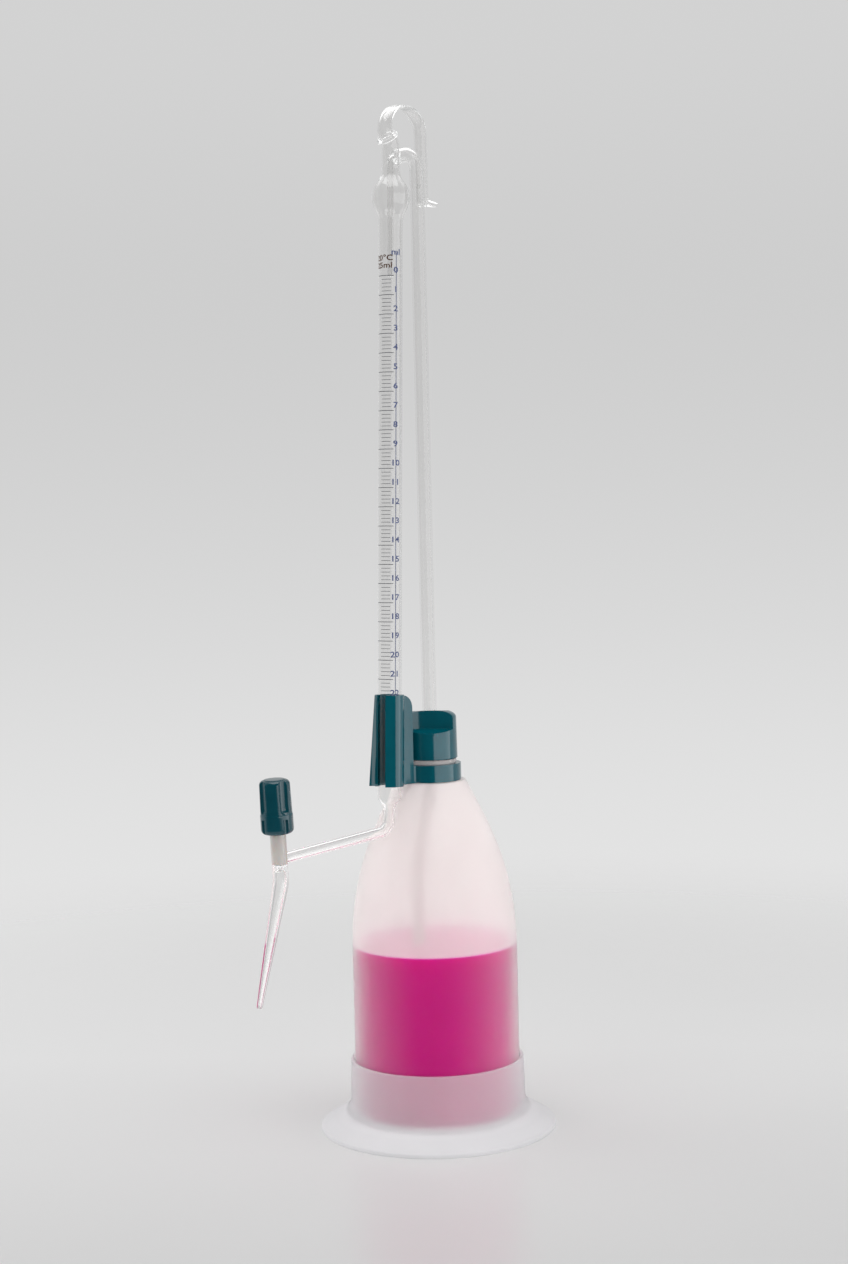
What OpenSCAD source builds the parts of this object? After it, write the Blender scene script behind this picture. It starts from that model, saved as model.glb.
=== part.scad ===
// Automatic burette: a squeeze bottle in a broad foot feeds a self-zeroing glass burette.
// Millimetres, +Z up. The origin is the centre of the foot's underside.
// The burette, its riser and its outlet valve lie in the XZ plane, with the valve on the -X side.

/* [Foot] */
// Radius of the foot's rim
foot_r = 65.7; // [60:0.1:72]
// Height of the rim's edge
foot_edge_h = 2.6; // [2:0.1:4]
// Height at which the cone meets the collar
foot_cone_h = 11.5; // [9:0.1:14]
// Height of the collar's top
collar_h = 39.4; // [30:0.1:48]
// Thickness of the collar's wall at its foot
collar_wall = 2.5; // [1.8:0.1:3.5]
// Thickness of the foot's floor and cone
foot_wall = 3.0; // [2:0.1:4]

/* [Bottle] */
// Outer radius of the bottle
bottle_r = 46.0; // [40:0.1:50]
// Thickness of the bottle's wall
bottle_wall = 1.3; // [0.8:0.1:2]
// Height at which the straight wall turns into the shoulder
shoulder_z = 100; // [90:1:110]
// Height of the ledge at the top of the shoulder
ledge_z = 194.6; // [190:0.1:200]
// Outer radius of the shoulder at the ledge
ledge_r = 19.2; // [18:0.1:21]
// Outer radius of the neck where the holder's ring turns
neck_ring_r = 13.9; // [13:0.1:14.2]
// Outer radius of the bead that keeps the ring down
bead_r = 14.3; // [14:0.1:14.8]
// Outer radius of the threaded part of the neck
neck_r = 12.2; // [11.5:0.1:12.4]
// Wall of the neck
neck_wall = 1.7; // [1.2:0.1:2.2]
// Height of the liquid's surface
liquid_z = 103.6; // [60:0.1:120]

/* [Cap] */
// Outer radius of the cap at its lower edge
cap_r = 15.1; // [14.8:0.1:16]
// Outer radius of the cap at its top
cap_top_r = 14.8; // [14.2:0.1:15.2]
// Height of the cap
cap_h = 26.8; // [24:0.1:30]
// Height of the finger shelf at its upright face, above the cap's lower edge
shelf_h = 17.0; // [16.5:0.1:18]
// Downward slope of the shelf toward its front edge
shelf_slope = 13; // [0:1:18]
// Distance of the shelf's upright face from the cap's axis
shelf_face = 5.6; // [5.4:0.1:7]
// Radius to which the upright face is hollowed
shelf_hollow = 45; // [35:1:80]
// Direction that the finger shelf faces, about the axis
shelf_turn = 222; // [0:1:359]
// Drop of the cap's rounded top at its edge
dome_drop = 4.2; // [1:0.1:4.5]
// Width of the cap's rounded top, in from its edge
dome_w = 9.0; // [4:0.1:10]
// Slope of the cap's top, down from the upright face to the back
cap_tilt = 6; // [0:0.5:8]

/* [Holder] */
// Outer radius of the holder's ring
ring_r = 16.9; // [16.5:0.1:17.5]
// Height of the ring
ring_h = 9.4; // [8:0.1:9.5]
// Distance of the web's free edge from the bottle's axis
web_edge = 17.8; // [17.6:0.1:19]
// Thickness of the web between the ring and the clip
web_t = 7.0; // [4:0.1:8]
// Corner radius at the top of the web's free edge
web_corner = 7.3; // [3:0.1:9]
// Radius of the fillets between the web and the ring
ring_fillet = 2.0; // [1:0.1:3]
// Wall of the clip round the burette
clip_wall = 1.5; // [1:0.05:1.8]
// Length of the clip along the burette
clip_l = 49.8; // [40:0.1:55]
// Half of the angle that the clip leaves open
clip_open = 28; // [24:1:34]
// Width of the flat lip on each jaw
lip_w = 5.6; // [4:0.1:7]
// Thickness of the lips at their upper ends
lip_t = 1.7; // [1.6:0.1:2.5]
// Outward draft of the lips toward their lower ends
lip_draft = 3.2; // [0:0.1:4]

/* [Burette] */
// Lean of the burette toward the riser
burette_lean = 2.25; // [0:0.05:3.5]
// Distance of the burette from the bottle's axis at the holder's lower end
burette_x = 34.0; // [33:0.05:37]
// Outer radius of the burette
burette_r = 6.5; // [6:0.05:7]
// Bore radius of the burette
burette_bore = 5.55; // [5:0.05:5.8]
// Distance of the 25 ml line above the holder's lower end
scale_low = 17.0; // [10:0.1:24]
// Length of the scale from 0 to 25 ml
scale_l = 259; // [250:1:265]
// Greatest radius of the bulb
bulb_r = 10.25; // [9:0.05:12]
// Where the bulb starts, along the burette from the holder's lower end
bulb_low = 306; // [300:1:310]
// Length of the bulb
bulb_l = 30; // [26:0.5:36]
// Outer radius of the burette's neck
throat_r = 4.95; // [4.6:0.05:5.5]
// Straight length of the neck above the bulb
throat_l = 8.0; // [7:0.1:9]
// Turn of the neck away from the riser
throat_turn = 38; // [20:1:45]
// Bend radius of the neck
throat_bend = 8; // [7:0.5:12]
// Thickness of the rolled rim at the mouth
rim_t = 2.5; // [1.5:0.1:3]
// Wall of the blown glass
glass_wall = 1.0; // [0.8:0.05:1.3]

/* [Riser] */
// Outer radius of the riser
riser_r = 4.0; // [3.5:0.05:4.5]
// Bore radius of the riser
riser_bore = 2.8; // [2:0.05:3]
// Height of the straight riser above the bottle's ledge
elbow_rise = 334.9; // [330:0.1:338]
// Bend radius of the elbow
elbow_bend = 8.0; // [7:0.1:10]
// Turn of the elbow
elbow_turn = 105; // [95:1:112]
// Outer radius of the fine filling tip
fill_r = 2.0; // [1.6:0.05:2.4]
// Bore radius of the fine filling tip
fill_bore = 1.0; // [0.6:0.05:1.2]
// Outer radius of the soft dip tube
dip_r = 3.6; // [3.3:0.05:4]
// Clear height of the dip tube's end above the bottle's floor
dip_clear = 8; // [4:0.5:15]
// Outer radius of the riser's nipple that carries the dip tube
nipple_r = 2.7; // [2.4:0.05:2.9]
// Length of the nipple
nipple_l = 16; // [12:0.5:20]

/* [Vent] */
// Height of the vent arch's crown above the burette's mouth
arch_rise = 18.4; // [15:0.1:24]
// Where the vent's leg comes down: X
leg_x = 8.8; // [8.5:0.1:10]
// Where the vent's leg comes down: Y
leg_y = 4.7; // [4.2:0.1:6]
// Depth of the leg's lower end below the burette's mouth
leg_drop = 34.9; // [30:0.1:40]
// Radius of the vent tube on its legs
vent_r = 4.0; // [3.6:0.05:4.4]
// Half thickness of the arch at its flattened crown
crown_half = 1.7; // [1.5:0.05:3]
// Length of the drip nozzle outside the leg
drip_l = 8.5; // [6:0.1:11]
// Radius of the drip nozzle at its root
drip_r = 2.3; // [1.8:0.05:2.8]

/* [Outlet] */
// Outer radius of the outlet arm
arm_r = 3.1; // [2.8:0.05:3.4]
// Bore radius of the outlet arm
arm_bore = 2.0; // [1.6:0.05:2.2]
// Depth of the arm's corner on the burette's axis below the holder
arm_drop = 24.0; // [22:0.1:27]
// Bend radius between the burette and the arm
arm_bend = 8.0; // [7:0.1:12]
// Downward slope of the arm, which the valve leans by as well
arm_slope = 3.1; // [0:0.1:6]
// Distance from the burette's axis to the valve's axis along the arm
arm_reach = 83.6; // [60:0.1:90]

/* [Valve] */
// Outer radius of the valve's glass barrel
barrel_r = 4.2; // [4.1:0.05:4.6]
// Bore radius of the barrel
barrel_bore = 3.0; // [2.8:0.05:3.2]
// Height of the barrel above the arm's axis
barrel_top = 22; // [20:0.5:23]
// Depth of the barrel below the arm's axis
barrel_low = 5.5; // [5.2:0.1:7]
// Height of the spindle's upper end above the arm's axis
spindle_top = 34; // [32:0.5:36]
// Radius of the hole in the valve seat
seat_r = 1.0; // [0.8:0.05:1.3]
// Radius of the knob's fluted part at its top
knob_top_r = 8.0; // [7:0.1:8.4]
// Radius of the knob's skirt
knob_skirt_r = 8.5; // [8:0.1:9.2]
// Height of the knob's lower end above the arm's axis
knob_low = 13.6; // [12:0.1:14.5]
// Height of the knob
knob_h = 28.4; // [26:0.1:32]
// Height of the knob's skirt
skirt_h = 10.0; // [9:0.1:12]
// Number of flutes round the knob
flutes = 4; // [3:1:6]
// Radius of a flute
flute_r = 3.4; // [2.8:0.1:4]
// Depth of a flute
flute_depth = 1.6; // [1:0.1:1.8]
// Direction of the first flute
flute_turn = 79; // [0:1:119]

/* [Jet] */
// Length of the jet's taper
jet_l = 63; // [50:1:75]
// Turn of the jet away from the valve's axis
jet_turn = 19; // [10:0.5:24]
// Outer radius of the jet at its mouth
jet_mouth_r = 1.6; // [1.4:0.05:2]
// Bore radius of the jet at its mouth
jet_mouth_bore = 0.6; // [0.4:0.05:0.8]

/* [Fits] */
// Radial play between the bottle and the foot's collar
bottle_play = 0.3; // [0.2:0.05:0.5]
// Radial running clearance
running = 0.05; // [0.02:0.01:0.08]
// Clearance between pieces that only rest near each other
rest_gap = 0.2; // [0.1:0.05:0.3]

/* [Hidden] */
$fn = 64;

// Overshoot of a cut past the face that it opens
cut = 1;
// Points on a curved stretch of an outline
curve_steps = 10;
// Points on the long curve of the shoulder
shoulder_steps = 24;

// Colours
teal = "#0d5560";
milky = "#e9e4e4";
magenta = "#b81a74";
glass = "#d9e6ea";
seal = "#3a3a3c";
fluoropolymer = "#f1efec";

// Bottle heights and radii
bottle_z = foot_wall;
bottle_corner = 6;
bottle_inner_r = bottle_r - bottle_wall;
neck_bore = neck_r - neck_wall;
ring_z = ledge_z + rest_gap;
bead_z = ring_z + ring_h + rest_gap;
bead_h = 2.2;
cap_z = bead_z + bead_h + rest_gap;
cap_cavity = neck_r + 2 * rest_gap;
cap_roof = 1.5;
cap_ceiling = cap_z + shelf_h - (cap_cavity - shelf_face) * tan(shelf_slope) - cap_roof;
liner_t = 1.5;
neck_top = cap_ceiling - liner_t - 2 * running;
grommet_r = 6.0;
grommet_h = 1.6;
shoulder = [[bottle_r, shoulder_z], [bottle_r, shoulder_z + 43],
    [ledge_r + 14.3, ledge_z - 28], [ledge_r, ledge_z]];

// The burette's own frame starts at the holder's lower end
holder_z = ring_z;
arm_z = holder_z - arm_drop;
taper_top = 8;
taper_low = -5;
bulb_wide = bulb_low + bulb_l * 0.53;
bulb_top = bulb_low + bulb_l;
throat_top = bulb_top + throat_l;
throat_bore = throat_r - glass_wall;
zero_line = scale_low + scale_l;

// Mouth of the burette, and the heading that it faces
lip_l = 0.6;
mouth_side = throat_bend * (1 - cos(throat_turn)) + (lip_l + rim_t) * sin(throat_turn);
mouth_up = throat_top + throat_bend * sin(throat_turn) + (lip_l + rim_t) * cos(throat_turn);
mouth_lean = throat_turn - burette_lean;
mouth_x = -burette_x + mouth_up * sin(burette_lean) - mouth_side * cos(burette_lean);
mouth_z = holder_z + mouth_up * cos(burette_lean) + mouth_side * sin(burette_lean);

// Vent arch: a run along the ground from the mouth to the leg, with a height above the mouth
arch_run = norm([leg_x - mouth_x, leg_y]);
arch_dir = [leg_x - mouth_x, leg_y] / arch_run;
crown_s = arch_run * 0.46;
leg_top = mouth_z + 3;
leg_z = mouth_z - leg_drop;
arch_up = [[0, 0], [-7 * sin(mouth_lean), 7 * cos(mouth_lean)], [2, arch_rise], [crown_s, arch_rise]];
arch_down = [[crown_s, arch_rise], [crown_s + 9.5, arch_rise], [arch_run, 13], [arch_run, leg_top - mouth_z]];
arch_rings = 20;
tube_sides = 20;
bend_steps = 10;
vent_wall = 1.1;

// Elbow of the riser with its straight end at the weld, and the point where its axis crosses the burette's
elbow_z = ledge_z + elbow_rise;
weld_l = 1.5;
weld_z = elbow_z - weld_l;
elbow_out = elbow_bend * (1 - cos(elbow_turn));
elbow_up = elbow_bend * sin(elbow_turn);
elbow_drop = elbow_turn - 90;
elbow_end = [-elbow_out, elbow_z + elbow_up];
fill_cross = (burette_x - elbow_out - (elbow_end[1] - holder_z) * tan(burette_lean))
    / (cos(elbow_drop) - sin(elbow_drop) * tan(burette_lean));
fill_bend = 3.0;
fill_turn = 90 - elbow_drop - burette_lean;
fill_tangent = fill_bend * tan(fill_turn / 2);
fill_cross_z = elbow_end[1] - fill_cross * sin(elbow_drop);
fill_drop = (fill_cross_z - holder_z) / cos(burette_lean) - zero_line - fill_tangent;

// Outlet arm: corner on the burette's axis, straight length below the taper, length to the valve
arm_corner = (arm_z - holder_z) / cos(burette_lean);
arm_turn = 90 - burette_lean - arm_slope;
arm_tangent = arm_bend * tan(arm_turn / 2);
arm_fall = taper_low - arm_corner - arm_tangent;
valve_x = -burette_x + arm_corner * sin(burette_lean) - arm_reach * cos(arm_slope);
valve_z = arm_z - arm_reach * sin(arm_slope);

// Valve spindle and knob
spindle_r = barrel_bore - running;
spindle_low = -2.6;
needle_l = 2.0;
o_ring_z = 16;
o_ring_t = 0.76;
knob_bore = barrel_r + 2 * rest_gap;
knob_bore_top = barrel_top + 4;

// Point at u on a cubic curve through four points
function bezier(p, u) = pow(1 - u, 3) * p[0] + 3 * u * pow(1 - u, 2) * p[1]
    + 3 * u * u * (1 - u) * p[2] + pow(u, 3) * p[3];

// Points along a cubic curve
function curve(p, n) = [for (i = [0:n]) bezier(p, i / n)];

// Quarter round from one point to another, with the corner that it replaces
function rounded(a, corner, b) = curve([a, a + (corner - a) * 0.55, b + (corner - b) * 0.55, b], curve_steps);

// Smooth step of an outline from one radius and height to another
function swell(a, b) = curve([a, [a[0], (a[1] + b[1]) / 2], [b[0], (a[1] + b[1]) / 2], b], curve_steps);

// Outline turned about the Z axis
module turned(outline) {
    rotate_extrude() polygon(outline);
}

// Straight tube that starts at the origin and heads along +Z, with a radius at each end
module pipe(length, r_start, r_end, bore_start, bore_end) {
    turned([[bore_start, 0], [r_start, 0], [r_end, length], [bore_end, length]]);
}

// Stations along a bend that starts at the origin heading along +Z and turns toward +X: X, Z and heading
function bend_stations(bend, turn) = [for (i = [0:bend_steps])
    let (q = turn * i / bend_steps) [bend * (1 - cos(q)), bend * sin(q), q]];

// Stations of a straight run, a bend and a second straight run
function bent_route(run_in, bend, turn, run_out) =
    let (round = bend_stations(bend, turn), last = round[bend_steps])
    concat(run_in > 0 ? [[0, -run_in, 0]] : [], round,
        [[last[0] + run_out * sin(turn), last[1] + run_out * cos(turn), turn]]);

// Ring of points round a station, with a radius in the plane of the bend and one across it
function station_ring(station, thin, wide) = [for (k = [0:tube_sides - 1])
    let (a = 360 * k / tube_sides, q = station[2])
    [station[0] - cos(q) * thin * cos(a), wide * sin(a), station[1] + sin(q) * thin * cos(a)]];

// Closed skin over a list of rings
module ring_skin(rings) {
    last = len(rings) - 1;
    points = [for (ring = rings, p = ring) p];
    walls = [for (i = [0:last - 1], k = [0:tube_sides - 1])
        let (n = (k + 1) % tube_sides, low = i * tube_sides, high = low + tube_sides)
        [low + k, low + n, high + n, high + k]];
    ends = [[for (k = [tube_sides - 1:-1:0]) k], [for (k = [0:tube_sides - 1]) last * tube_sides + k]];
    polyhedron(points, concat(walls, ends), convexity = 4);
}

// Solid bent rod that keeps its radius up to the second straight run, which tapers to its own
module bent_rod(run_in, bend, turn, run_out, r, r_end) {
    route = bent_route(run_in, bend, turn, run_out);
    last = len(route) - 1;
    ring_skin([for (i = [0:last]) let (w = i == last ? r_end : r) station_ring(route[i], w, w)]);
}

// Bent tube: the bend starts at the origin, after a straight run that leads up to it
module bent_tube(run_in, bend, turn, run_out, r, r_end, bore, bore_end) {
    difference() {
        bent_rod(run_in, bend, turn, run_out, r, r_end);
        bent_rod(run_in + cut, bend, turn, run_out + cut, bore, bore_end);
    }
}

// Frame at the far end of such a bend
module past_bend(bend, turn) {
    translate([bend * (1 - cos(turn)), 0, bend * sin(turn)]) rotate([0, turn, 0]) children();
}

// Frame of the burette: +Z runs up its axis from the holder's lower end
module on_burette() {
    translate([-burette_x, 0, holder_z]) rotate([0, burette_lean, 0]) children();
}

// Frame of the valve: +Z runs up its axis from the arm's axis
module on_valve() {
    translate([valve_x, 0, valve_z]) rotate([0, -arm_slope, 0]) children();
}

// Frame at the end of the riser's elbow, with +Z along the tube
module past_elbow() {
    translate([0, 0, elbow_z]) rotate([0, 0, 180]) past_bend(elbow_bend, elbow_turn) children();
}

module base_foot() {
    collar_r = bottle_r + bottle_play;
    outer_r = collar_r + collar_wall;
    lip_r = outer_r - 0.5;
    edge = 0.8;
    groove = 2.2;
    color(milky) difference() {
        turned(concat(
            [[0, 0], [foot_r - edge, 0], [foot_r, edge]],
            rounded([foot_r, foot_edge_h - edge], [foot_r, foot_edge_h],
                [foot_r - 2 * edge, foot_edge_h + edge / 2]),
            rounded([outer_r + 4, foot_cone_h - 1.6], [outer_r + 0.6, foot_cone_h], [outer_r, foot_cone_h + 5]),
            rounded([lip_r, collar_h - 1.4], [lip_r, collar_h], [lip_r - 1.0, collar_h]),
            rounded([collar_r + 0.6, collar_h], [collar_r, collar_h], [collar_r, collar_h - 1.2]),
            [[collar_r, foot_wall], [0, foot_wall]]));
        turned([[outer_r, -cut], [foot_r - 3.4, -cut], [foot_r - 3.4, groove - 1.2],
            [outer_r + 2, foot_cone_h - foot_wall - 0.8], [outer_r, foot_cone_h - foot_wall - 0.8]]);
    }
}

// Outline of the bottle's belly and shoulder, moved in by a wall, from the bottom corner to the ledge
function belly(wall, floor_z) = concat(
    rounded([bottle_r - bottle_corner, floor_z], [bottle_r - wall, floor_z],
        [bottle_r - wall, floor_z + bottle_corner]),
    [for (p = curve(shoulder, shoulder_steps)) [p[0] - wall, p[1] - wall / 2]]);

module reservoir_bottle() {
    color(milky) difference() {
        turned(concat([[0, bottle_z]], belly(0, bottle_z),
            [[neck_ring_r, ledge_z], [neck_ring_r, bead_z]],
            rounded([bead_r - 0.2, bead_z], [bead_r, bead_z], [bead_r, bead_z + 0.4]),
            rounded([bead_r, bead_z + bead_h - 0.6], [bead_r, bead_z + bead_h], [bead_r - 0.6, bead_z + bead_h]),
            [[neck_r, bead_z + bead_h], [neck_r, neck_top], [0, neck_top]]));
        turned(concat([[0, bottle_z + bottle_wall]], belly(bottle_wall, bottle_z + bottle_wall),
            [[neck_bore, ledge_z], [neck_bore, neck_top + cut], [0, neck_top + cut]]));
    }
}

module titrant_liquid() {
    floor_z = bottle_z + bottle_wall + running;
    wet_r = bottle_inner_r - running;
    hole = dip_r + 0.3;
    color(magenta) turned(concat([[hole, floor_z]],
        rounded([wet_r - bottle_corner, floor_z], [wet_r, floor_z], [wet_r, floor_z + bottle_corner]),
        [[wet_r, shoulder_z], [wet_r - running, liquid_z], [hole, liquid_z]]));
}

// Space over the finger shelf, with a hollow upright face and a floor that slopes to the front
module shelf_space() {
    intersection() {
        translate([shelf_face + shelf_hollow, 0, 0]) cylinder(r = shelf_hollow, h = 2 * cap_h);
        translate([shelf_face, -cap_r, shelf_h]) rotate([0, shelf_slope, 0])
            translate([-cap_r, 0, 0]) cube([3 * cap_r, 2 * cap_r, 2 * cap_h]);
    }
}

module screw_cap() {
    riser_hole = riser_r + 2 * rest_gap;
    pocket = grommet_r + rest_gap;
    color(teal) translate([0, 0, cap_z]) difference() {
        turned(concat([[0, 0], [cap_r - 0.4, 0], [cap_r, 0.4]],
            rounded([cap_top_r, cap_h - dome_drop], [cap_top_r, cap_h], [cap_top_r - dome_w, cap_h]),
            [[0, cap_h]]));
        translate([0, 0, -cut]) cylinder(r = cap_cavity, h = cap_ceiling - cap_z + cut);
        cylinder(r = pocket, h = cap_ceiling - cap_z + grommet_h + rest_gap);
        cylinder(r = riser_hole, h = cap_h + cut);
        rotate([0, 0, shelf_turn]) shelf_space();
        rotate([0, 0, shelf_turn]) translate([shelf_face, 0, cap_h]) rotate([0, -cap_tilt, 0])
            translate([-4 * cap_r, -2 * cap_r, 0]) cube([4 * cap_r, 4 * cap_r, cap_h]);
    }
}

module cap_liner() {
    liner_bore = riser_r + running;
    color(milky) translate([0, 0, neck_top + running]) pipe(liner_t, neck_r, neck_r, liner_bore, liner_bore);
}

module riser_grommet() {
    color(seal) translate([0, 0, cap_ceiling + running])
        pipe(grommet_h, grommet_r, grommet_r - 1, riser_r + running, riser_r + running);
}

// Flat lip along one jaw of the clip, which opens toward -X
module clip_lip(side) {
    lip_turn = clip_open + 18;
    low_t = lip_t + clip_l * tan(lip_draft);
    set_in = 0.3;
    lip_end = clip_l - set_in;
    rotate([0, 0, 180 + side * lip_turn]) translate([burette_r, lip_w / 2, 0]) rotate([90, 0, 0])
        linear_extrude(lip_w) polygon([[0, set_in], [low_t, set_in], [lip_t, lip_end], [0, lip_end]]);
}

module clip_body() {
    cylinder(r = burette_r + clip_wall, h = clip_l);
    clip_lip(1);
    clip_lip(-1);
}

// Upright web from the clip to the ring, with a round upper corner at its free edge
module holder_web() {
    web_h = clip_l - 1;
    corner_z = web_h - web_corner;
    reach = burette_x - web_edge;
    translate([-web_edge, web_t / 2, ring_z]) rotate([90, 0, 0]) linear_extrude(web_t) {
        translate([-reach, 0]) square([reach, corner_z]);
        translate([-reach, 0]) square([reach - web_corner, web_h]);
        translate([-web_corner, corner_z]) circle(web_corner);
    }
}

// Thicker roots of the web on the clip: a low rib and the top
module web_roots() {
    root_w = 10.4;
    root_end = 24.6;
    spans = [[12, 13.9], [41, clip_l - 1]];
    for (span = spans) translate([-burette_x, -root_w / 2, ring_z + span[0]])
        cube([burette_x - root_end, root_w, span[1] - span[0]]);
}

// Foot of the web at the ring's height, with fillets that lead from its sides to the ring
module web_foot() {
    bite = 0.1;
    hub = ring_r + ring_fillet - bite;
    side = web_t / 2 + ring_fillet;
    turn = asin(side / hub);
    centre = hub * [-cos(turn), sin(turn)];
    arc = [for (i = [0:curve_steps]) let (a = -90 + (90 - turn) * i / curve_steps)
        centre + ring_fillet * [cos(a), sin(a)]];
    inner = [[-neck_ring_r, arc[curve_steps][1]], [-neck_ring_r, 0], [arc[0][0], 0]];
    for (flip = [0, 1]) mirror([0, flip, 0]) linear_extrude(ring_h) polygon(concat(arc, inner));
}

module burette_holder() {
    slot_l = clip_l + 20;
    slot_reach = 30;
    color(teal) difference() {
        union() {
            translate([0, 0, ring_z]) cylinder(r = ring_r, h = ring_h);
            translate([0, 0, ring_z]) web_foot();
            holder_web();
            web_roots();
            on_burette() clip_body();
        }
        translate([0, 0, ring_z - cut]) cylinder(r = neck_ring_r + running, h = ring_h + 2 * cut);
        on_burette() translate([0, 0, -2 * cut]) cylinder(r = burette_r + running, h = slot_l);
        on_burette() translate([0, 0, -2 * cut]) linear_extrude(slot_l)
            polygon([[0, 0], slot_reach * [-cos(clip_open), sin(clip_open)],
                slot_reach * [-cos(clip_open), -sin(clip_open)]]);
    }
}

module burette_tube() {
    bulb_outer = concat(swell([burette_r, bulb_low], [bulb_r, bulb_wide]),
        swell([bulb_r, bulb_wide], [throat_r, bulb_top]));
    bore_step = burette_r - burette_bore;
    color(glass) on_burette() difference() {
        turned(concat([[0, taper_low], [arm_r, taper_low]],
            swell([arm_r, taper_low + 1], [burette_r, taper_top]), bulb_outer,
            [[throat_r, throat_top], [0, throat_top]]));
        turned(concat([[0, taper_low - cut], [arm_bore, taper_low - cut]],
            swell([arm_bore, taper_low + 1], [burette_bore, taper_top]),
            [for (p = bulb_outer) [p[0] - bore_step, p[1]]],
            [[throat_r - bore_step, throat_top + cut], [0, throat_top + cut]]));
        fill_hole();
    }
}

// Bent neck above the bulb with the rolled rim of the mouth, which ends in the plane that the vent stands on
module burette_mouth() {
    bead = rim_t / 2;
    bore = throat_bore;
    neck = bend_stations(throat_bend, throat_turn);
    tip = neck[bend_steps];
    rim = [for (b = [-90:22.5:90]) let (l = lip_l + bead * (1 + sin(b)))
        [tip[0] + l * sin(throat_turn), tip[1] + l * cos(throat_turn), throat_turn]];
    color(glass) on_burette() translate([0, 0, throat_top]) rotate([0, 0, 180]) difference() {
        ring_skin(concat([for (p = neck) station_ring(p, throat_r, throat_r)],
            [for (i = [0:len(rim) - 1])
                let (r = throat_r + bead * cos(-90 + 22.5 * i)) station_ring(rim[i], r, r)]));
        bent_rod(cut, throat_bend, throat_turn, lip_l + rim_t + cut, bore, bore);
    }
}

// Hole in the burette's neck for the filling tip, in the burette's frame
module fill_hole() {
    rotate([0, -burette_lean, 0]) translate([burette_x, 0, -holder_z]) past_elbow()
        cylinder(r = fill_r, h = fill_cross);
}

module riser_tube() {
    nipple_z = ledge_z - nipple_l;
    nipple_bore = nipple_r - 0.9;
    step = 3;
    color(glass) turned([[nipple_bore, nipple_z], [nipple_r, nipple_z], [nipple_r, ledge_z],
        [riser_r, ledge_z + step], [riser_r, weld_z], [riser_bore, weld_z], [riser_bore, ledge_z + step],
        [nipple_bore, ledge_z]]);
}

// Elbow of the riser, cut to the shape of the burette's neck that it is sealed to
module riser_elbow() {
    color(glass) difference() {
        translate([0, 0, elbow_z]) rotate([0, 0, 180])
            bent_tube(weld_l, elbow_bend, elbow_turn, fill_cross - 1, riser_r, riser_r, riser_bore, riser_bore);
        on_burette() translate([0, 0, bulb_top - 2]) cylinder(r = throat_r, h = throat_l + 6);
    }
}

module dip_tube() {
    low_z = bottle_z + bottle_wall + dip_clear;
    hose_bore = nipple_r + running;
    color(milky) translate([0, 0, low_z]) pipe(ledge_z - low_z, dip_r, dip_r, hose_bore, hose_bore);
}

module fill_tip() {
    start = fill_cross - throat_r - 1.6;
    lead = fill_cross - fill_tangent - start;
    color(glass) past_elbow() translate([0, 0, start + lead])
        bent_tube(lead, fill_bend, fill_turn, fill_drop, fill_r, 0.5 + fill_bore, fill_bore, fill_bore * 0.7);
}

// Centre line of the vent arch, as distance along the ground and height above the mouth
arch_path = concat(curve(arch_up, arch_rings), [for (i = [1:arch_rings]) bezier(arch_down, i / arch_rings)]);

// Heading of the arch at ring i, from its neighbours, with both ends held to their own headings
function arch_heading(i) = i == 0 ? -mouth_lean : i == 2 * arch_rings ? 180
    : let (step = arch_path[i + 1] - arch_path[i - 1]) atan2(step[0], step[1]);

// How far the section at ring i is flattened: 0 on the legs and 1 at the crown
function flattened(i) = pow(sin(180 * i / (2 * arch_rings)), 2);

// Ring i of the arch's skin moved in by a wall, and pushed out past an end by a distance
function arch_ring(i, wall, push) =
    let (q = arch_heading(i), p = arch_path[i] + push * [sin(q), cos(q)])
    station_ring([p[0], p[1], q], vent_r + (crown_half - vent_r) * flattened(i) - wall,
        vent_r * (1 + 0.25 * flattened(i)) - wall);

module vent_arch() {
    last = 2 * arch_rings;
    color(glass) translate([mouth_x, 0, mouth_z]) rotate([0, 0, atan2(arch_dir[1], arch_dir[0])]) difference() {
        ring_skin([for (i = [0:last]) arch_ring(i, 0, 0)]);
        ring_skin([for (i = [0:last]) arch_ring(i, vent_wall, i == 0 ? -cut : i == last ? cut : 0)]);
    }
}

module vent_leg() {
    dome_z = leg_z + vent_r;
    drip_turn = 97;
    drip_reach = vent_r + drip_l;
    drip_bore = drip_r * 0.35;
    color(glass) translate([leg_x, leg_y, dome_z]) difference() {
        union() {
            cylinder(r = vent_r, h = leg_top - dome_z);
            sphere(vent_r);
            rotate([0, drip_turn, 0]) cylinder(r1 = drip_r, r2 = drip_r * 0.6, h = drip_reach);
        }
        cylinder(r = vent_r - vent_wall, h = leg_top - leg_z);
        sphere(vent_r - vent_wall);
        rotate([0, drip_turn, 0]) cylinder(r = drip_bore, h = drip_reach + cut);
    }
}

module vent_bridge() {
    bridge_z = leg_z + 2.6 * vent_r;
    bridge_r = 1.6;
    reach = norm([leg_x, leg_y]);
    tube_l = 20;
    color(glass) translate([0, 0, bridge_z]) difference() {
        rotate([0, 90, atan2(leg_y, leg_x)]) cylinder(r = bridge_r, h = reach);
        cylinder(r = riser_r, h = tube_l, center = true);
        translate([leg_x, leg_y, 0]) cylinder(r = vent_r, h = tube_l, center = true);
    }
}

module outlet_arm() {
    color(glass) difference() {
        on_burette() translate([0, 0, taper_low - arm_fall]) rotate([0, 180, 0])
            bent_tube(arm_fall, arm_bend, arm_turn, arm_reach - arm_tangent, arm_r, arm_r, arm_bore, arm_bore);
        on_valve() cylinder(r = barrel_r, h = 4 * arm_r, center = true);
    }
}

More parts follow.
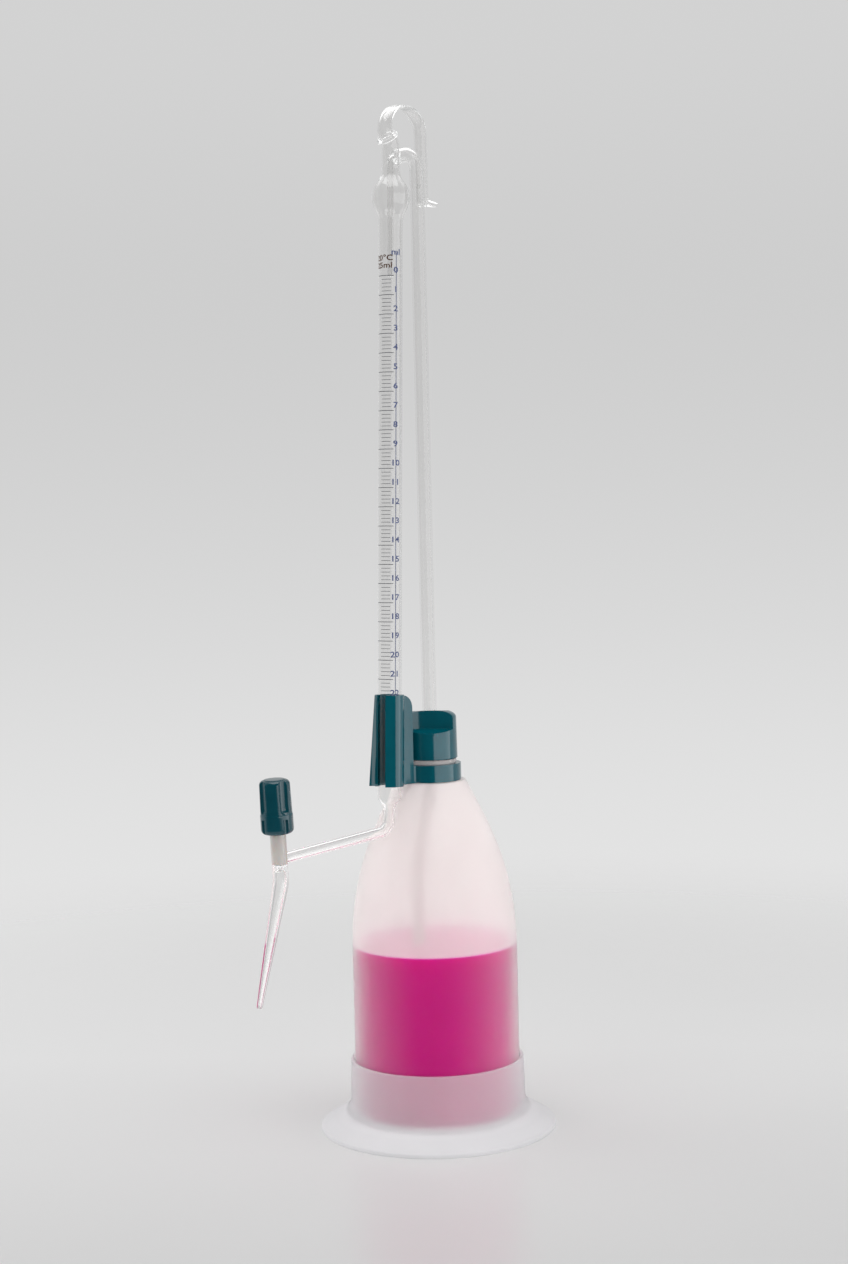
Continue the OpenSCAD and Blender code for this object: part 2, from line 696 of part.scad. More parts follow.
module valve_barrel() {
    seat_l = needle_l + 0.6;
    color(glass) on_valve() difference() {
        translate([0, 0, -barrel_low]) cylinder(r = barrel_r, h = barrel_low + barrel_top);
        translate([0, 0, spindle_low - running]) cylinder(r = barrel_bore, h = barrel_top + barrel_low);
        translate([0, 0, spindle_low - running - needle_l])
            cylinder(r1 = seat_r, r2 = barrel_bore, h = needle_l + 0.001);
        translate([0, 0, -barrel_low - cut]) cylinder(r = seat_r, h = seat_l + cut);
        rotate([0, 90, 0]) cylinder(r = arm_bore, h = 2 * barrel_r);
    }
}

module valve_spindle() {
    groove_r = spindle_r - o_ring_t;
    color(fluoropolymer) on_valve() difference() {
        union() {
            translate([0, 0, spindle_low]) cylinder(r = spindle_r, h = spindle_top - spindle_low);
            translate([0, 0, spindle_low - needle_l + 0.2])
                cylinder(r1 = seat_r, r2 = spindle_r - 0.1, h = needle_l - 0.2);
        }
        translate([0, 0, o_ring_z - o_ring_t / 2 - running])
            pipe(o_ring_t + 2 * running, barrel_bore + cut, barrel_bore + cut, groove_r, groove_r);
    }
}

module spindle_o_ring() {
    section = o_ring_t / 2;
    color(seal) on_valve() translate([0, 0, o_ring_z]) rotate_extrude()
        translate([spindle_r - section, 0]) circle(section, $fn = 24);
}

// One flute along the knob and its notch in the skirt
module knob_flute() {
    flute_x = knob_top_r + flute_r - flute_depth;
    end_h = sqrt(pow(flute_r, 2) - pow(flute_x - knob_top_r, 2));
    notch_r = 1.5;
    translate([flute_x, 0, skirt_h + end_h + 0.6]) {
        cylinder(r = flute_r, h = knob_h);
        sphere(flute_r);
    }
    translate([knob_skirt_r + 0.4, 0, -cut]) cylinder(r = notch_r, h = skirt_h - 2 + cut);
}

module valve_knob() {
    skirt_round = 2.6;
    top_r = 5.6;
    color(teal) on_valve() difference() {
        translate([0, 0, knob_low]) difference() {
            turned(concat([[0, 0]],
                rounded([knob_skirt_r - skirt_round, 0], [knob_skirt_r, 0], [knob_skirt_r, skirt_round]),
                [[knob_skirt_r, skirt_h], [knob_skirt_r - 0.2, skirt_h + 0.5]],
                rounded([knob_top_r, knob_h - 2.8], [knob_top_r, knob_h - 0.3], [top_r, knob_h - 0.3]),
                [[top_r - 0.3, knob_h], [0, knob_h]]));
            for (k = [0:flutes - 1]) rotate([0, 0, flute_turn + 360 * k / flutes]) knob_flute();
        }
        cylinder(r = knob_bore, h = knob_bore_top);
        cylinder(r = spindle_r + running, h = spindle_top + rest_gap);
    }
}

module jet_tip() {
    root_l = 4;
    jet_bend = 14;
    root_bore = 2.3;
    color(glass) on_valve() translate([0, 0, -barrel_low - root_l]) rotate([0, 180, 0])
        bent_tube(root_l, jet_bend, jet_turn, jet_l, barrel_r, jet_mouth_r, root_bore, jet_mouth_bore);
}

base_foot();
reservoir_bottle();
titrant_liquid();
burette_holder();
screw_cap();
cap_liner();
riser_grommet();
riser_tube();
riser_elbow();
dip_tube();
burette_tube();
burette_mouth();
fill_tip();
vent_arch();
vent_leg();
vent_bridge();
outlet_arm();
valve_barrel();
valve_spindle();
spindle_o_ring();
valve_knob();
jet_tip();
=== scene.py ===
"""Looks of the automatic burette: milky squeeze bottle, clear glass burette and teal fittings, around the CAD frame."""
import math

import bmesh
import bpy
import numpy as np
from mathutils import Matrix, Vector


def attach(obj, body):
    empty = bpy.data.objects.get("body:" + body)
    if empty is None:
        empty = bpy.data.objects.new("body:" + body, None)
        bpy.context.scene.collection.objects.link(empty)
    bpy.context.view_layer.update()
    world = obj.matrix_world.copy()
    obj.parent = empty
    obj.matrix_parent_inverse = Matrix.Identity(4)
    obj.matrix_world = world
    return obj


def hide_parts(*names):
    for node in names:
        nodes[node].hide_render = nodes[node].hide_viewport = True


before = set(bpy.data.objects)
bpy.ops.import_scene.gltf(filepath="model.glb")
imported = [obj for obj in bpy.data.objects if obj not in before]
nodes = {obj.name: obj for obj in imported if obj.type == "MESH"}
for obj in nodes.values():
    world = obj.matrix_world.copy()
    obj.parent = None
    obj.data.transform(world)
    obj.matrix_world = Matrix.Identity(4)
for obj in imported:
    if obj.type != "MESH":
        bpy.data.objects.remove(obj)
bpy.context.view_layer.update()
MM = 0.001
UP = np.array([0.0, 0.0, 1.0])
ACROSS = np.array([0.0, 1.0, 0.0])

# View of the photo: the camera's level heading and its right, the turn of the line from object to camera, and its lens
HEADING = np.array([0.7431, 0.6691, 0.0])
RIGHT = np.array([0.6691, -0.7431, 0.0])
VIEW_TURN = math.radians(222)
CAMERA_PLACE = (-0.8848, -0.7941, 0.3477)
CAMERA_DIP, CAMERA_ROLL = math.radians(3.411), math.radians(1.35)
CAMERA_SENSOR, CAMERA_LENS = 36.0, 61.23

# Shared sizes of the part, in millimetres
FOOT_R, FOOT_EDGE, FOOT_CONE, COLLAR_H, FOOT_WALL = 65.7, 2.6, 11.5, 39.4, 3.0
COLLAR_BORE, COLLAR_WALL = 46.3, 2.5
BOTTLE_R, BOTTLE_WALL, BOTTLE_CORNER = 46.0, 1.3, 6.0
SHOULDER = np.array([[46.0, 100.0], [46.0, 143.0], [33.5, 166.6], [19.2, 194.6]])
LEDGE_Z, NECK_RING_R, BEAD_R, NECK_R, NECK_WALL = 194.6, 13.9, 14.3, 12.2, 1.7
BEAD_Z, BEAD_H, NECK_TOP = 204.4, 2.2, 219.08
LIQUID_Z = 103.6
LEAN = math.radians(2.25)
BURETTE_ROOT = np.array([-34.0, 0.0, 194.8])
BURETTE_AXIS = np.array([math.sin(LEAN), 0.0, math.cos(LEAN)])
BURETTE_SIDE = np.array([math.cos(LEAN), 0.0, -math.sin(LEAN)])
BURETTE_R, BURETTE_BORE = 6.5, 5.55
NUB_LOW, NUB_TOP = -10.5, -2.5
BULB_LOW, BULB_WIDE, BULB_TOP, BULB_R = 306.0, 321.9, 336.0, 10.25
THROAT_R, THROAT_WALL, THROAT_TOP, THROAT_BEND, THROAT_TURN = 4.95, 1.0, 344.0, 8.0, math.radians(38)
RIM_L, RIM_T = 0.6, 2.5
RISER_R, RISER_BORE = 4.0, 2.8
NIPPLE_R, NIPPLE_BORE, NIPPLE_LOW, NIPPLE_STEP = 2.7, 1.8, 178.6, 3.0
ELBOW_Z, ELBOW_BEND, ELBOW_TURN = 529.5, 8.0, math.radians(105)
ELBOW_AHEAD = np.array([-math.sin(ELBOW_TURN), 0.0, math.cos(ELBOW_TURN)])
ELBOW_END = np.array([-ELBOW_BEND * (1 - math.cos(ELBOW_TURN)), 0.0, ELBOW_Z + ELBOW_BEND * math.sin(ELBOW_TURN)])
LEG = np.array([8.8, 4.7])
LEG_Z, VENT_R, VENT_WALL, CROWN_HALF, ARCH_RISE = 511.14, 3.6, 1.0, 0.8, 17.3
NOZZLE_L, NOZZLE_BORE, NOZZLE_TURN = 8.5, 0.8, math.radians(97)
TIP_BEND, TIP_ROOT = 3.0, 1.15
ARM_R, ARM_BORE, ARM_Z, ARM_BEND = 3.1, 2.0, 170.8, 8.0
ARM_SLOPE, ARM_REACH = math.radians(3.1), 83.6
BARREL_R, BARREL_BORE, BARREL_TOP, BARREL_LOW = 4.2, 2.93, 22.0, 9.5
JET_L, JET_BEND, JET_TURN = 63.0, 14.0, math.radians(19)
DIP_R, DIP_BORE, DIP_LOW = 3.6, 2.75, 12.3
DIP_SWAY, DIP_SWAY_TOP, DIP_SWAY_FALL = 8.6, 190.0, 60.0
KNOB_LOW, KNOB_H, KNOB_TOP_R, KNOB_SKIRT_R, SKIRT_H = 13.6, 28.4, 8.0, 8.5, 10.0
FLUTES, FLUTE_R, FLUTE_DEPTH, FLUTE_TURN = 4, 3.4, 1.6, math.radians(79)
EDGE_ROUND, EDGE_ANGLE, SHARP_ANGLE = 0.35, math.radians(30), math.radians(40)

# Least radius of a turned outline, beside its axis
CENTRE_R = 0.5
# Places that follow: the knee of arm and burette along the burette's axis, the valve's axis, its foot on the arm's axis
# and the direction away from the burette
KNEE = (ARM_Z - BURETTE_ROOT[2]) / math.cos(LEAN)
VALVE_AXIS = np.array([-math.sin(ARM_SLOPE), 0.0, math.cos(ARM_SLOPE)])
VALVE_OUT = np.array([-math.cos(ARM_SLOPE), 0.0, -math.sin(ARM_SLOPE)])
VALVE_ROOT = BURETTE_ROOT + KNEE * BURETTE_AXIS + ARM_REACH * VALVE_OUT

# Glass: clear distance between pieces that meet, least half width of a bore, and how often a ray may turn in it
GLASS_GAP, LEAST_BORE, MOST_TURNS = 0.02, 0.02, 8.5

# Scale: zero line, millilitre, lines to each of them, all lines, and the height of ink above the glass
ZERO_LINE, ML_STEP, DIVISIONS, LINE_COUNT = 276.0, 10.36, 5, 109
LINE_LIFT, TEXT_LIFT = 0.03, 0.05
NUMBER_COUNT, NUMBER_SIZE, NUMBER_TURN, NUMBER_RISE, UNIT_RISE = 23, 4.4, 27.0, 2.9, 12.5
MARK_SIZE, MARK_TURN = 4.2, -36.0
TEXT_BOLD, TEXT_STRETCH = 0.09, 1.25

# Stage, in metres and degrees: soft boxes as turn from the view, distance and height of their place, the height that
# they aim at, width and height, radiance, and the rays that don't see them
LAMPS = (("right_box", (55, 1.5, 0.36), 0.36, (2.5, 0.95), 1.75, ("transmission",)),
         ("left_box", (-108, 1.5, 0.36), 0.36, (1.8, 0.95), 2.1, ("glossy", "transmission")),
         ("top_box", (20, 0.25, 1.9), 0.1, (1.6, 1.6), 2.1, ()),
         ("fill_box", (-45, 1.6, 0.5), 0.2, (1.2, 1.2), 1.15, ("glossy", "transmission")))
# Pale backdrop by the sine of the angle above the horizon, and the light that the air gives everywhere
BACKDROP = ((-0.42, 0.61), (-0.329, 0.644), (-0.27, 0.708), (-0.182, 0.80), (-0.06, 0.70), (0.094, 0.585), (0.22, 0.68),
            (0.5, 0.58))
AIR_LIGHT = 0.29


def camera_at_photo():
    """Camera of the photograph: it looks along its heading, a little downward, and is rolled a little."""
    ahead = HEADING * math.cos(CAMERA_DIP) - UP * math.sin(CAMERA_DIP)
    lift = HEADING * math.sin(CAMERA_DIP) + UP * math.cos(CAMERA_DIP)
    x_axis = RIGHT * math.cos(CAMERA_ROLL) - lift * math.sin(CAMERA_ROLL)
    y_axis = RIGHT * math.sin(CAMERA_ROLL) + lift * math.cos(CAMERA_ROLL)
    data = bpy.data.cameras.new("photo_camera")
    data.sensor_width, data.lens = CAMERA_SENSOR, CAMERA_LENS
    data.clip_start, data.clip_end = 0.05, 50.0
    camera = bpy.data.objects.new("photo_camera", data)
    place = np.eye(4)
    place[:3, 0], place[:3, 1], place[:3, 2] = x_axis, y_axis, -ahead
    place[:3, 3] = CAMERA_PLACE
    camera.matrix_world = Matrix(place.tolist())
    bpy.context.collection.objects.link(camera)
    bpy.context.scene.camera = camera


# Mesh making


def mesh_piece(name, points, faces, material, smooth=True):
    """Object at the origin whose mesh holds these points, given in millimetres, and these faces."""
    mesh = bpy.data.meshes.new(name)
    mesh.from_pydata((np.asarray(points) * MM).tolist(), [], [list(f) for f in faces])
    mesh.validate()
    mesh.polygons.foreach_set("use_smooth", np.full(len(mesh.polygons), smooth))
    mesh.set_sharp_from_angle(angle=SHARP_ANGLE)
    mesh.update()
    piece = bpy.data.objects.new(name, mesh)
    piece.data.materials.append(material)
    bpy.context.collection.objects.link(piece)
    return piece


def grid_quads(rows, cols, wrap_rows=False, wrap_cols=True):
    """Quads of a grid of rows by columns, numbered row by row: (i, j), (i, j+1), (i+1, j+1), (i+1, j)."""
    i = np.arange(rows if wrap_rows else rows - 1)[:, None]
    j = np.arange(cols if wrap_cols else cols - 1)[None, :]
    i2, j2 = (i + 1) % rows, (j + 1) % cols
    quads = np.stack([i * cols + j, i * cols + j2, i2 * cols + j2, i2 * cols + j], -1)
    return quads.reshape(-1, 4).tolist()


def closed_rings(rings):
    """Points and faces of a skin over rings (n, k, 3), with a fan to a centre point at both ends."""
    n, k, _ = rings.shape
    points = np.concatenate([rings.reshape(-1, 3), rings[0].mean(0)[None], rings[-1].mean(0)[None]])
    j = np.arange(k)
    low, high = n * k, n * k + 1
    first = np.stack([np.full(k, low), (j + 1) % k, j], -1).tolist()
    last = np.stack([np.full(k, high), (n - 1) * k + j, (n - 1) * k + (j + 1) % k], -1).tolist()
    return points, grid_quads(n, k) + first + last


def looped_rings(rings):
    """Points and faces of a ring of rings: the last ring joins the first one, as in a tube with a wall."""
    n, k, _ = rings.shape
    return rings.reshape(-1, 3), grid_quads(n, k, wrap_rows=True)


def lathe(outline, sides):
    """Rings of an outline of (radius, height) turned about Z: (r cos a, r sin a, z)."""
    outline = np.asarray(outline, float)
    a = np.linspace(0, 2 * np.pi, sides, endpoint=False)
    r, z = outline[:, 0][:, None], outline[:, 1][:, None]
    return np.stack([r * np.cos(a), r * np.sin(a), np.broadcast_to(z, (len(outline), sides))], -1)


def swept(path, thin, wide, across, sides):
    """Rings along a path: p + thin cos(a) n + wide sin(a) s, with s across the path and n square to both."""
    path = np.asarray(path, float)
    ahead = np.gradient(path, axis=0)
    ahead /= np.linalg.norm(ahead, axis=1, keepdims=True)
    side = np.broadcast_to(across, path.shape)
    side = side - ahead * (side * ahead).sum(1, keepdims=True)
    side /= np.linalg.norm(side, axis=1, keepdims=True)
    out = np.cross(side, ahead)
    a = np.linspace(0, 2 * np.pi, sides, endpoint=False)[None, :, None]
    thin = np.broadcast_to(thin, len(path))[:, None, None]
    wide = np.broadcast_to(wide, len(path))[:, None, None]
    return path[:, None] + thin * np.cos(a) * out[:, None] + wide * np.sin(a) * side[:, None]


def bezier(p, n):
    """Points at n + 1 even steps along the cubic curve of four points."""
    u = np.linspace(0, 1, n + 1)[:, None]
    p = np.asarray(p, float)
    return (1 - u) ** 3 * p[0] + 3 * u * (1 - u) ** 2 * p[1] + 3 * u * u * (1 - u) * p[2] + u ** 3 * p[3]


def rounded(a, corner, b, n=8):
    """Round from a to b in place of a corner, as a cubic curve."""
    a, corner, b = np.array(a, float), np.array(corner, float), np.array(b, float)
    pull = 0.55
    return bezier([a, a + (corner - a) * pull, b + (corner - b) * pull, b], n)


def swell(a, b, n=30):
    """Smooth step of an outline from one (radius, height) to another."""
    middle = (a[1] + b[1]) / 2
    return bezier([a, [a[0], middle], [b[0], middle], b], n)


def straight(a, b, n):
    """n + 1 even steps from a to b."""
    return np.linspace(np.asarray(a, float), np.asarray(b, float), n + 1)


def onward(start, ahead, length, n):
    """n points from a start, spread evenly over a length ahead."""
    return start + np.linspace(0, length, n)[:, None] * ahead


def bend_points(start, ahead, toward, radius, turn, n):
    """Points on a bend: start + R sin(q) ahead + R (1 - cos(q)) toward, for q from 0 to turn."""
    q = np.linspace(0, turn, n + 1)[:, None]
    return start + radius * (np.sin(q) * ahead + (1 - np.cos(q)) * toward)


def joined(*runs):
    """One run of points out of several, with the doubled points between them left out."""
    run = np.concatenate([np.asarray(r, float) for r in runs])
    step = np.linalg.norm(np.diff(run, axis=0), axis=1)
    return run[np.concatenate([[True], step > 1e-6])]


def run_length(path):
    """Distance along a path at each of its points."""
    return np.concatenate([[0], np.cumsum(np.linalg.norm(np.diff(path, axis=0), axis=1))])


# Materials


class Nodes:
    """A node tree, and short ways to add nodes to it."""

    def __init__(self, tree):
        self.tree = tree

    def node(self, kind, **settings):
        made = self.tree.nodes.new(kind)
        for key, value in settings.items():
            setattr(made, key, value)
        return made

    def link(self, out, into):
        self.tree.links.new(out, into)

    def calc(self, operation, *values):
        """Output of a Math node over plain numbers and other nodes' outputs."""
        made = self.node("ShaderNodeMath", operation=operation)
        for socket, value in zip(made.inputs, values):
            if isinstance(value, float):
                socket.default_value = value
            else:
                self.link(value, socket)
        return made.outputs[0]

    def spread(self, value, low, high, out_low, out_high, way="LINEAR"):
        """Value taken from one range to another, with its ends held."""
        made = self.node("ShaderNodeMapRange", interpolation_type=way)
        self.link(value, made.inputs["Value"])
        for name, number in zip(("From Min", "From Max", "To Min", "To Max"), (low, high, out_low, out_high)):
            made.inputs[name].default_value = number
        return made.outputs["Result"]

    def along(self, vector, direction):
        """How far a vector reaches along a direction."""
        made = self.node("ShaderNodeVectorMath", operation="DOT_PRODUCT")
        self.link(vector, made.inputs[0])
        made.inputs[1].default_value = direction.tolist()
        return made.outputs["Value"]

    def height_of(self, vector):
        made = self.node("ShaderNodeSeparateXYZ")
        self.link(vector, made.inputs["Vector"])
        return made.outputs["Z"]


class Finish(Nodes):
    """A material with one Principled shader, whose patterns lie in object coordinates."""

    NOISE_SPAN = 0.3, 0.7

    def __init__(self, name, **sockets):
        self.material = bpy.data.materials.new(name)
        self.material.use_nodes = True
        super().__init__(self.material.node_tree)
        self.shader = self.tree.nodes["Principled BSDF"]
        self.output = self.tree.nodes["Material Output"]
        for socket, value in sockets.items():
            self.shader.inputs[socket.replace("_", " ")].default_value = value
        self.place = self.node("ShaderNodeTexCoord").outputs["Object"]

    def give(self, socket, value):
        """Links a node's output to one of the shader's sockets."""
        self.link(value, self.shader.inputs[socket])

    def noise(self, scale, detail):
        made = self.node("ShaderNodeTexNoise")
        self.link(self.place, made.inputs["Vector"])
        made.inputs["Scale"].default_value = scale
        made.inputs["Detail"].default_value = detail
        return made.outputs["Fac"]

    def ramp(self, factor, low, high, start=0.0, end=1.0):
        """Colour that goes from low at the start to high at the end of a factor's range."""
        made = self.node("ShaderNodeValToRGB")
        for element, position, colour in zip(made.color_ramp.elements, (start, end), (low, high)):
            element.position = position
            element.color = (*colour, 1.0)
        self.link(factor, made.inputs["Fac"])
        return made.outputs["Color"]

    def mottle(self, scale, detail, low, high):
        """Base colour that wanders between two colours."""
        self.give("Base Color", self.ramp(self.noise(scale, detail), low, high, *self.NOISE_SPAN))

    def polish(self, scale, detail, low, high):
        """Roughness that wanders between two values."""
        self.give("Roughness", self.spread(self.noise(scale, detail), *self.NOISE_SPAN, low, high))

    def bump(self, scale, detail, strength, distance):
        """Fine unevenness of the skin."""
        made = self.node("ShaderNodeBump")
        made.inputs["Strength"].default_value = strength
        made.inputs["Distance"].default_value = distance
        self.link(self.noise(scale, detail), made.inputs["Height"])
        self.give("Normal", made.outputs["Normal"])

    def see_through(self, factor, tint=(1.0, 1.0, 1.0)):
        """Mixes a tinted Transparent shader into the surface by a factor."""
        clear = self.node("ShaderNodeBsdfTransparent")
        clear.inputs["Color"].default_value = (*tint, 1.0)
        mix = self.node("ShaderNodeMixShader")
        self.link(factor, mix.inputs["Fac"])
        self.link(self.shader.outputs["BSDF"], mix.inputs[1])
        self.link(clear.outputs["BSDF"], mix.inputs[2])
        self.link(mix.outputs["Shader"], self.output.inputs["Surface"])

    def clear_to_lamps(self, tint, most_turns=None):
        """Lets rays to lamps go straight through, tinted, and also rays that have turned more often than this."""
        path = self.node("ShaderNodeLightPath").outputs
        factor = path["Is Shadow Ray"]
        if most_turns is not None:
            factor = self.calc("MAXIMUM", factor, self.calc("GREATER_THAN", path["Ray Depth"], most_turns))
        self.see_through(factor, tint)


def clear_glass():
    """Clear borosilicate glass, with faint streaks of drawn and blown tube in its tint."""
    f = Finish("clear_glass", Transmission_Weight=1.0, Roughness=0.0, IOR=1.45)
    f.mottle(25, 1.0, (0.945, 0.943, 0.94), (0.958, 0.956, 0.954))
    f.clear_to_lamps((0.95, 0.955, 0.955), MOST_TURNS)
    return f.material


def teal_plastic(name, low, high):
    """Glossy moulded polypropylene in dark teal, with faint flow marks and a fine skin."""
    f = Finish(name, IOR=1.49, Specular_IOR_Level=0.66)
    f.mottle(90, 3.0, low, high)
    f.polish(350, 2.0, 0.08, 0.12)
    f.bump(1400, 1.0, 0.03, 0.0001)
    return f.material


def milky_bottle():
    """Milky polyethylene wall: hazy where it is dry and clearer where the liquid wets it."""
    f = Finish("milky_bottle", IOR=1.2, Specular_IOR_Level=0.25)
    f.mottle(30, 2.0, (0.90, 0.87, 0.861), (0.93, 0.904, 0.896))
    wet = f.spread(f.height_of(f.place), 0.1030, 0.1042, 1.0, 0.62)
    graze = f.spread(f.node("ShaderNodeLayerWeight").outputs["Facing"], 0.05, 1.0, 1.0, 0.8)
    f.give("Transmission Weight", f.calc("MULTIPLY", wet, graze))
    f.polish(140, 3.0, 0.33, 0.40)
    f.bump(260, 2.0, 0.08, 0.0003)
    f.clear_to_lamps((0.90, 0.88, 0.88))
    return f.material


def milky_foot():
    """Thick translucent polyethylene of the foot, denser at its rim, with a fine moulded grain."""
    f = Finish("milky_foot", IOR=1.2, Specular_IOR_Level=0.3)
    rim = 0.007, 0.013
    height = f.height_of(f.place)
    tone = f.calc("MULTIPLY_ADD", f.noise(40, 2.0), 0.25, f.spread(height, *rim, 0.0, 0.75))
    f.give("Base Color", f.ramp(tone, (0.785, 0.78, 0.795), (0.95, 0.935, 0.95)))
    f.give("Transmission Weight", f.spread(height, *rim, 0.2, 0.8))
    f.polish(200, 2.0, 0.36, 0.44)
    f.bump(900, 2.0, 0.05, 0.0002)
    f.clear_to_lamps((0.85, 0.85, 0.85))
    return f.material


def magenta_titrant():
    """Deep magenta liquid, lit a little way into its depth."""
    f = Finish("magenta_titrant", IOR=1.33, Roughness=0.12, Specular_IOR_Level=0.1, Subsurface_Weight=0.5,
               Subsurface_Radius=(1.0, 0.3, 0.6), Subsurface_Scale=0.02)
    f.mottle(18, 1.0, (0.57, 0.002, 0.225), (0.61, 0.003, 0.24))
    return f.material


def white_fluoropolymer():
    """Waxy warm white of the spindle, darkened to grey-beige as painted shade inside the glass barrel, with fine
    turning marks.
    """
    f = Finish("white_fluoropolymer", IOR=1.38, Subsurface_Weight=0.3, Subsurface_Scale=0.002)
    # Painted shade: the spindle's white is darkened to grey-beige for the shade inside the barrel under the knob
    f.mottle(220, 2.0, (0.58, 0.545, 0.52), (0.63, 0.595, 0.57))
    f.polish(500, 2.0, 0.35, 0.45)
    f.bump(1500, 1.0, 0.05, 0.0001)
    return f.material


def soft_tube():
    """Soft milky polyethylene of the dip tube."""
    f = Finish("soft_tube", IOR=1.3, Transmission_Weight=0.2)
    f.mottle(80, 2.0, (0.62, 0.53, 0.54), (0.67, 0.58, 0.59))
    f.polish(200, 2.0, 0.35, 0.45)
    f.clear_to_lamps((0.6, 0.58, 0.58))
    return f.material


def seal_rubber():
    """Dull dark rubber of the seals."""
    f = Finish("seal_rubber", IOR=1.5)
    f.mottle(200, 2.0, (0.02, 0.02, 0.022), (0.035, 0.035, 0.037))
    f.polish(600, 2.0, 0.5, 0.65)
    f.bump(2500, 1.0, 0.1, 0.0001)
    return f.material


def fired_print(name, low, high):
    """Fired enamel print with slightly uneven cover."""
    f = Finish(name, IOR=1.5)
    f.mottle(1500, 2.0, low, high)
    f.polish(900, 2.0, 0.35, 0.5)
    return f.material


GLASS = clear_glass()
TEAL = teal_plastic("teal_plastic", (0.0, 0.082, 0.112), (0.0, 0.098, 0.130))
KNOB_TEAL = teal_plastic("knob_teal", (0.001, 0.052, 0.072), (0.003, 0.062, 0.084))
BOTTLE = milky_bottle()
FOOT = milky_foot()
TITRANT = magenta_titrant()
PTFE = white_fluoropolymer()
DIP = soft_tube()
RUBBER = seal_rubber()
BLUE_PRINT = fired_print("blue_print", (0.06, 0.08, 0.20), (0.08, 0.11, 0.26))
GREY_PRINT = fired_print("grey_print", (0.045, 0.05, 0.065), (0.07, 0.075, 0.09))
BROWN_PRINT = fired_print("brown_print", (0.09, 0.05, 0.035), (0.13, 0.075, 0.05))


def dress(piece, body, slot, *replaced):
    """Rides a piece on its body and hides the CAD nodes that it stands for; its slot is not used."""
    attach(piece, body)
    if replaced:
        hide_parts(*replaced)


# Foot, bottle and liquid


def foot_outline():
    """Outline of the foot: the hollow under the cone, rim, cone, collar and well."""
    outer = COLLAR_BORE + COLLAR_WALL
    lip = outer - 0.5
    edge, groove = 0.8, FOOT_R - 3.4
    rim_top = [FOOT_R - 2 * edge, FOOT_EDGE + edge / 2]
    cone_end, fillet_end = [outer + 4, FOOT_CONE - 1.6], [outer, FOOT_CONE + 5]
    lip_start, well_start = [lip, COLLAR_H - 1.4], [COLLAR_BORE, COLLAR_H - 1.2]
    top = joined(
        rounded([FOOT_R - edge, 0], [FOOT_R, 0], [FOOT_R, edge]),
        rounded([FOOT_R, FOOT_EDGE - edge], [FOOT_R, FOOT_EDGE], rim_top),
        straight(rim_top, cone_end, 10), rounded(cone_end, [outer + 0.6, FOOT_CONE], fillet_end, 12),
        straight(fillet_end, lip_start, 10), rounded(lip_start, [lip, COLLAR_H], [lip - 1.0, COLLAR_H]),
        rounded([COLLAR_BORE + 0.6, COLLAR_H], [COLLAR_BORE, COLLAR_H], well_start),
        straight(well_start, [COLLAR_BORE, FOOT_WALL], 8), [[20, FOOT_WALL], [CENTRE_R, FOOT_WALL]])
    under = [[CENTRE_R, 0], [outer - 2, 0], [outer, 0], [outer, FOOT_CONE - FOOT_WALL - 1.2],
             [outer + 2, FOOT_CONE - FOOT_WALL - 0.8], [groove, 1.0], [groove, 0]]
    return joined(under, top)


def bottom_round(flat_r, radius, floor_z):
    """Outline of a bottom from its centre over the flat and the rounded corner to the start of the wall."""
    return joined([[CENTRE_R, floor_z], [20, floor_z]],
                  rounded([flat_r, floor_z], [radius, floor_z], [radius, floor_z + BOTTLE_CORNER]))


def bottle_outline():
    """Outer outline of the bottle from the floor's centre to the neck's top, then the inner one back down."""
    shoulder = bezier(SHOULDER, 48)
    bead_top = BEAD_Z + BEAD_H
    flat_r = BOTTLE_R - BOTTLE_CORNER
    outside = bottom_round(flat_r, BOTTLE_R, FOOT_WALL)
    outer = joined(
        outside, straight(outside[-1], SHOULDER[0], 30), shoulder,
        rounded([SHOULDER[3][0], LEDGE_Z], [NECK_RING_R + 0.4, LEDGE_Z], [NECK_RING_R, LEDGE_Z + 0.1], 4),
        rounded([NECK_RING_R, BEAD_Z - 0.2], [BEAD_R, BEAD_Z], [BEAD_R, BEAD_Z + 0.6]),
        rounded([BEAD_R, bead_top - 0.6], [BEAD_R, bead_top], [BEAD_R - 0.6, bead_top]),
        [[NECK_R, bead_top], [NECK_R, NECK_TOP]])
    inward = np.array([BOTTLE_WALL, BOTTLE_WALL / 2])
    bore = NECK_R - NECK_WALL
    inside = bottom_round(flat_r, BOTTLE_R - BOTTLE_WALL, FOOT_WALL + BOTTLE_WALL)
    inner = joined(inside, straight(inside[-1], SHOULDER[0] - inward, 30), shoulder - inward,
                   [[bore, LEDGE_Z], [bore, NECK_TOP]])
    return np.concatenate([outer, inner[::-1]])


def liquid_outline():
    """Outline of the liquid: bottom round, wall, the small climb at the wall and the level surface."""
    wet = BOTTLE_R - BOTTLE_WALL - 0.06
    wall_top, edge, level = [wet, LIQUID_Z - 3.6], [wet - 0.06, LIQUID_Z], LIQUID_Z - 1.2
    bottom = bottom_round(wet - BOTTLE_CORNER, wet, FOOT_WALL + BOTTLE_WALL + 0.05)
    return joined(bottom, straight(bottom[-1], wall_top, 20), straight(wall_top, edge, 4),
                  rounded(edge, [wet - 0.5, LIQUID_Z - 1.1], [wet - 3.2, level]),
                  straight([wet - 3.2, level], [CENTRE_R, level], 12))


def make_foot_and_bottle():
    for name, outline, material, body, slot, node in (
            ("foot_shell", foot_outline(), FOOT, "foot", "foot_polyethylene", "base_foot"),
            ("bottle_shell", bottle_outline(), BOTTLE, "bottle", "bottle_polyethylene", "reservoir_bottle"),
            ("liquid_fill", liquid_outline(), TITRANT, "bottle", "titrant", "titrant_liquid")):
        dress(mesh_piece(name, *closed_rings(lathe(outline, 160)), material), body, slot, node)


# Glass


